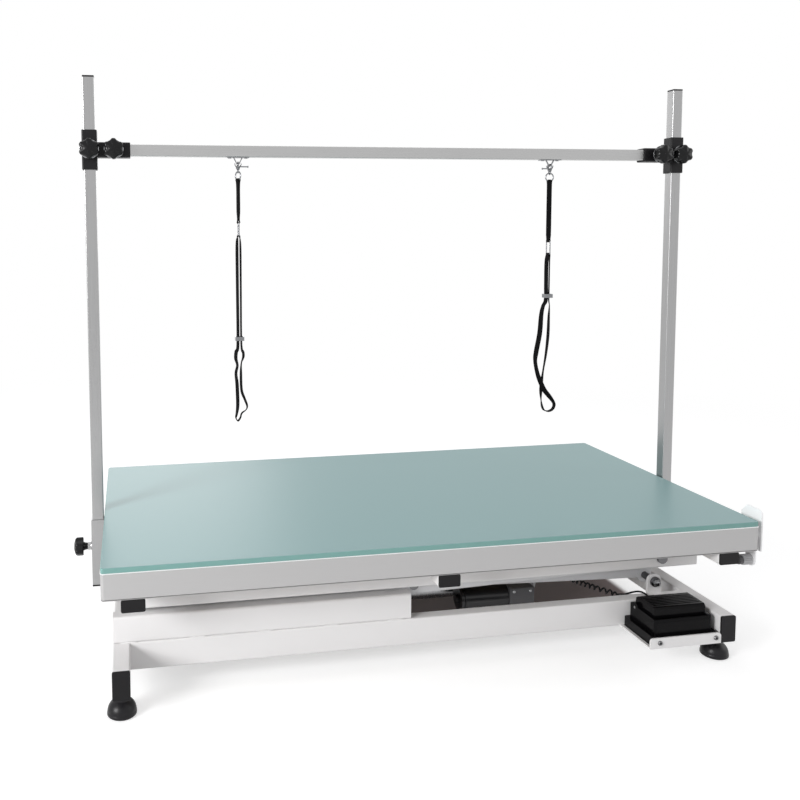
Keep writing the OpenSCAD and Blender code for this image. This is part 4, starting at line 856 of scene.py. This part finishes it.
# Clamps and crossbar. Each clamp is one black moulding, a sleeve on the upright with a shorter sleeve for
# the crossbar on its inner side; the crossbar is a brushed square tube.
dressed("cast_grey", moulded_black, 0.0012, "clamps")
bar_low, bar_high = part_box("crossbar")
brushed_bar = finish("brushed steel crossbar", brushed, 0.00001, Colour=(0.46, 0.46, 0.46),
                     Line_scale=(14, 1500, 1500), Metallic=1)
piece("crossbar_tube", [tube(rectangle(bar_low.yz, bar_high.yz, 0.0016), post_wall, bar_low.x, bar_high.x)],
      brushed_bar, "overhead_bar", "bright_tube", "crossbar")

# Noose fittings. Zinc plated eyes on riveted plates under the crossbar, snap hooks with a thumb pin and a
# flat pressed body, and flat sliders; the rings and oblong links come with the webbing.
noose_x = 0.329
zinc_wire = finish("zinc plated wire", brushed, 0.00001, Colour=(0.235, 0.24, 0.25),
                   Line_scale=(160, 160, 160), Tone=0.4, Roughness=0.2, Gloss_spread=0.14, Metallic=1)
dressed("zinc_wire", zinc_wire, 0.0003, "noose_eyes", "snap_left", "snap_right", "noose_slider_left",
        "noose_slider_right")
snap_half = np.array([(0.0026, -0.0172), (0.0036, -0.0130), (0.0074, -0.0060), (0.0070, -0.0034),
                      (0.0058, -0.0040), (0.0044, -0.0092), (0.0010, -0.0100)])
snap_outline = rounded(np.concatenate([snap_half * (-1, 1), snap_half[::-1]])[::-1], 0.0005)
for side, sign in (("left", -1), ("right", 1)):
    snap_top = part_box("snap_" + side)[1].z
    snap_body = drawn(snap_outline + (sign * noose_x, snap_top), -0.0024, 0.0024, "y", 0.0008)
    piece("snap_body_" + side, [snap_body], zinc_wire, "snap_" + side, "zinc_wire")

# Nooses. Black woven nylon webbing, 10 mm wide: a short doubled strap from a round wire ring to an oblong
# link, and under the link a long loop that hangs with its own twists. Folds wrap the ring and both bars of
# the link.
web_w = 0.010
web_t = 0.002
web_section = rectangle((-web_w / 2, -web_t / 2), (web_w / 2, web_t / 2), web_t * 0.42)


def marked(rings, run):
    """The webbing's skin through its rings, with its length and width marks."""
    return skin(rings), np.repeat(run, len(web_section)), np.tile(web_section[:, 0], len(run))


def ribbon(route, offset=0.0):
    """A webbing along a route whose last column is its turn.

    At a turn of 0 its width lies across the view, and at 90 degrees along y. The offset, one for all or one
    for each point, shifts it square to its face.
    """
    places, turns = route[:, :3], np.radians(route[:, 3:])
    way = heading(places)
    flat = unit(np.cross((0, 1, 0), way))
    wide = unit(np.cos(turns) * flat + np.sin(turns) * np.cross(way, flat))
    face = np.cross(way, wide)
    centre = places + np.broadcast_to(offset, len(places))[:, None] * face
    rings = centre[:, None] + web_section[:, :1] * wide[:, None] + web_section[:, 1:] * face[:, None]
    run = np.cumsum(np.linalg.norm(np.diff(places, axis=0, prepend=places[:1]), axis=1))
    return marked(rings, run)


def fold(centre, radius, start, end, steps=20):
    """Webbing bent round a bar that lies along y, from one angle to another, 0 being to the right."""
    t = np.radians(np.linspace(start, end, steps))
    return ribbon(np.stack([centre[0] + radius * np.cos(t), centre[1] + 0 * t, centre[2] + radius * np.sin(t),
                            90 + 0 * t], 1))


def ring_fold(centre, ring_r, radius, turn, steps=20):
    """Webbing bent round the bottom of an upright ring, which is turned from across the view by turn.

    A point at width w stands at the ring's angle w / ring_r; the fold goes round the wire there, from 55 to
    305 degrees, where 0 is straight down.
    """
    bend = web_section[:, 0] / ring_r
    c, s = np.cos(turn), np.sin(turn)
    out = np.stack([np.sin(bend) * c, -np.sin(bend) * s, -np.cos(bend)], 1)
    t = np.radians(np.linspace(55, 305, steps))
    ways = np.cos(t)[:, None, None] * out + np.sin(t)[:, None, None] * np.array((s, c, 0))
    rings = np.asarray(centre) + ring_r * out + (radius + web_section[:, 1:]) * ways
    return marked(rings, radius * t)


# Weave: threads that pass over and under in turn, so that the surface rises at every other crossing; the
# colour follows the rise too, as painted shade where the threads dip and painted highlight on their tops
weave, given = effect("webbing weave", Colour=(0.02, 0.02, 0.02, 1), Thread_across=0.00125,
                      Thread_along=0.0017, Tone=0.9, Roughness=0.7)
waves = []
for mark, size in (("across", "Thread across"), ("run", "Thread along")):
    place = node(weave, "Attribute", attribute_name=mark).outputs["Fac"]
    swing = math(weave, "MULTIPLY", math(weave, "DIVIDE", place, given[size]), float(np.pi))
    waves.append(math(weave, "SINE", swing))
thread = math(weave, "ABSOLUTE", math(weave, "MULTIPLY", *waves))
# The colour is darker in the weave's hollows and lighter on its threads: painted shade and highlight.
puts_out(weave, toned(weave, given["Colour"], thread, given["Tone"]),
         spread(weave, given["Roughness"], thread, 0.2), thread)

webbing_black = finish("black nylon webbing", weave, 0.00025, Colour=(0.0055, 0.0055, 0.006), Roughness=0.75,
                       Specular_IOR_Level=0.06)
left_loop = [(-2.2, 0, -156.5, 90), (-3.4, 0, -175, 68), (-3.4, 0, -260, 68), (-3.4, 0, -368, 68),
             (-7, 0, -384, 60), (-8, 0, -398, 60), (-5, 0, -412, 75), (-8, 0, -428, 70), (-6, 0, -450, 60),
             (-5, 0, -490, 60), (-7, 0, -508, 75), (-9, 0, -518, 88), (-5, 0, -524, 90), (0, 0, -518, 90),
             (3, 0, -509, 88), (12, 0, -502, 75), (14, 0, -494, 70), (9, 0, -480, 65), (3, 0, -462, 60),
             (2, 0, -430, 60), (3, 0, -408, 75), (7, 0, -396, 60), (7, 0, -386, 60), (3.4, 0, -368, 68),
             (3.4, 0, -260, 68), (3.4, 0, -175, 68), (2.2, 0, -156.5, 90)]
right_loop = [(-2.2, 0, -198.5, 90), (-3.4, 0, -215, 68), (-3.4, 0, -260, 68), (-3.4, 0, -294, 68),
              (-9, 0, -306, 75), (-13, 0, -325, 60), (-16, 0, -365, 35), (-23, 0, -403, 40),
              (-25, 0, -424, 70), (-20, -1, -450, 60), (-13, -3, -470, 30), (-5, -3.5, -486, 25),
              (5, -3, -498, 40), (16, -1, -511, 70), (20, 0, -520, 85), (16, 0, -529, 90), (6, 0, -533, 90),
              (-4, 0, -529, 90), (-8, 1, -518, 80), (-9, 3, -502, 50), (-9, 3.5, -486, 25), (-8, 3, -470, 30),
              (-6, 1, -445, 50), (-1, 0, -410, 40), (3, 0, -370, 30), (4, 0, -330, 40), (5, 0, -306, 60),
              (3.4, 0, -294, 68), (3.4, 0, -260, 68), (3.4, 0, -215, 68), (2.2, 0, -198.5, 90)]
ring_r = 0.0085
ring_wire_r = 0.0013
link_wire_r = 0.0012
link_h = 0.028
link_half = 0.0075
bar_under = bar_low.z
for side, middle, loop, link_drop, ring_turn, strap_turn in (("left", -noose_x, left_loop, 0.127, 62, 70),
                                                             ("right", noose_x, right_loop, 0.169, 0, 20)):
    link_z = bar_under - link_drop
    ring_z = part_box("noose_link_" + side)[1].z - ring_r - ring_wire_r
    bend = np.radians(ring_turn)
    around = np.linspace(0, 2 * np.pi, 64, endpoint=False)
    ring_path = np.stack([middle + ring_r * np.cos(around) * np.cos(bend),
                          -ring_r * np.cos(around) * np.sin(bend), ring_z + ring_r * np.sin(around)], 1)
    link_path = laid("x", *rectangle((-link_half, link_z - link_h), (link_half, link_z), 0.0024).T, middle)
    wires = [wire(ring_path, ring_wire_r, 14, True), wire(link_path, link_wire_r, 12, True)]
    piece("ring_and_link_" + side, wires, zinc_wire, "noose_" + side, "zinc_wire", "noose_link_" + side)
    strap_z = ring_z - ring_r + 0.0008
    strap = np.array([(middle, 0, z, degrees) for z, degrees in (
        (strap_z, ring_turn), (strap_z - 0.008, (ring_turn + strap_turn) / 2), (strap_z - 0.022, strap_turn),
        (link_z + 0.024, strap_turn), (link_z + 0.010, 90 - (90 - strap_turn) / 3), (link_z + 0.002, 90))])
    line = curve(strap, np.linspace(0, len(strap) - 1, 56))
    drop = strap_z - line[:, 2]
    apart = web_t / 2 + 0.0015 * np.exp(-drop / 0.004) + 0.0006 * np.exp((drop[0] - drop[-1] + drop) / 0.003)
    hung = np.array(loop, float) * (0.001, 0.001, 0.001, 1) + (middle, 0, bar_under, 0)
    hung_line = curve(hung, np.linspace(0, len(hung) - 1, 6 * len(hung)))
    link_wrap = link_wire_r + web_t / 2
    parts = [ribbon(line, apart), ribbon(line, -apart), ribbon(hung_line),
             ring_fold((middle, 0, ring_z), ring_r, ring_wire_r + 0.0001 + web_t / 2, bend),
             fold((middle, 0, link_z), link_wrap, 50, -230),
             fold((middle, 0, link_z - link_h), link_wrap, -35, 215)]
    shells, runs, acrosses = zip(*parts)
    piece("webbing_" + side, shells, webbing_black, "noose_" + side, "black_webbing", "noose_" + side,
          marks={"run": np.concatenate(runs), "across": np.concatenate(acrosses)})

# Foot switch. A glossy black moulding in three tiers on a white tray that is screwed on in front: a wide
# base, a narrower body with a raised front, and a treadle on a steel pin that springs up again.
gloss_black = finish("glossy black moulding", coated, 0.00003, Colour=(0.0032, 0.003, 0.0035),
                     Grain_scale=1200, Roughness=0.2, Gloss_spread=0.08, Specular_IOR_Level=0.09)
dressed("frame_paint", white_coat, 0.0006, "switch_tray")
tray_low, tray_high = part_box("switch_tray")
tray_screw_z = 0.053
tray_places = [(tray_low.x + 0.019, tray_screw_z), (tray_high.x - 0.011, tray_screw_z)]
piece("tray_screws", screws(tray_places, tray_low.y + 0.0010, -1, 0.0044, "y"), zinc_dull, "base",
      "bright_steel")
# Black discs fill the screws' sockets: painted shade in their recesses.
piece("tray_screw_socket_shade", [disc(0.0019, tray_low.y - 0.0004, tray_low.y, place, around=24)
                             for place in tray_places], gloss_black, "base", "black_plastic")
dressed("black_plastic", gloss_black, 0.0012, "switch_housing")
dressed("bright_steel", zinc_bright, 0.0005, "treadle_pin")
dressed("black_plastic", gloss_black, 0.0016, "treadle")

# Control box. A black two-part case on the rear rail under the top, its lid held by four screws, with a
# mains inlet on its left side and a gland for the switch cord.
dressed("black_plastic", moulded_black, 0.0012, "control_box")
lid_low, lid_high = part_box("control_box")
lid_places = product((lid_low.x + 0.010, lid_high.x - 0.010), (lid_low.y + 0.013, lid_high.y - 0.010))
piece("lid_screws", screws(lid_places, lid_high.z, 1, 0.0032, "z"), zinc_dull, "base", "bright_steel")


# Side bracket. A white plate with rounded corners, painted lighter than the frame's white coat as painted
# light where the lamps reach it less, screwed on two spacers at the right side, with a pale grey ribbed grip
# on a short neck below.
def ribbed(centre, x0, x1, ribs=18):
    """A round grip along x: its radius is 9.4 mm + 0.7 mm cos(ribs a), smaller towards both ends."""
    a = np.linspace(0, 2 * np.pi, ribs * 8, endpoint=False)
    wave = 0.0094 + 0.0007 * np.cos(ribs * a)
    return skin([laid("x", centre[0] + (wave - inset) * np.cos(a), centre[1] + (wave - inset) * np.sin(a), w)
                 for w, inset in [(x0, 0.006), *edged(x0, x1, 0.0015), (x1, 0.006)]])


# A lighter copy of the white frame coat: painted light on the bracket, which the lamps light less.
bracket_coat_painted_light = finish("white powder coat with painted light", coated, 0.00004, Colour=(0.97, 0.97, 0.975), Tone=0.02,
                     Patch_scale=9, Roughness=0.34, Gloss_spread=0.08)
dressed("frame_paint", bracket_coat_painted_light, 0.0008, "side_bracket")
bracket_low, bracket_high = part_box("side_bracket")
spacer_places = [(y, edge_low.z + 0.022) for y in (bracket_low.y + 0.012, bracket_high.y - 0.012)]
piece("bracket_screws", screws(spacer_places, bracket_high.x, 1, 0.0050, "x"), zinc_bright, "table_top",
      "bright_steel")
grip_grey = finish("pale grey moulding", coated, 0.00004, Colour=(0.52, 0.52, 0.53), Tone=0.1,
                   Grain_scale=1200)
grip_low, grip_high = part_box("bracket_knob")
grip_middle = middle_of("bracket_knob")[1:]
grip_neck = disc(0.0085, grip_low.x - 0.010, grip_low.x - 0.002, grip_middle, "x", (0.0008, 0.0004), 32)
piece("bracket_grip", [ribbed(grip_middle, grip_low.x - 0.003, grip_high.x + 0.001)], grip_grey,
      "bracket_knob", "black_plastic", "bracket_knob")
piece("bracket_grip_neck", [grip_neck], cast_grey, "bracket_knob", "cast_grey")
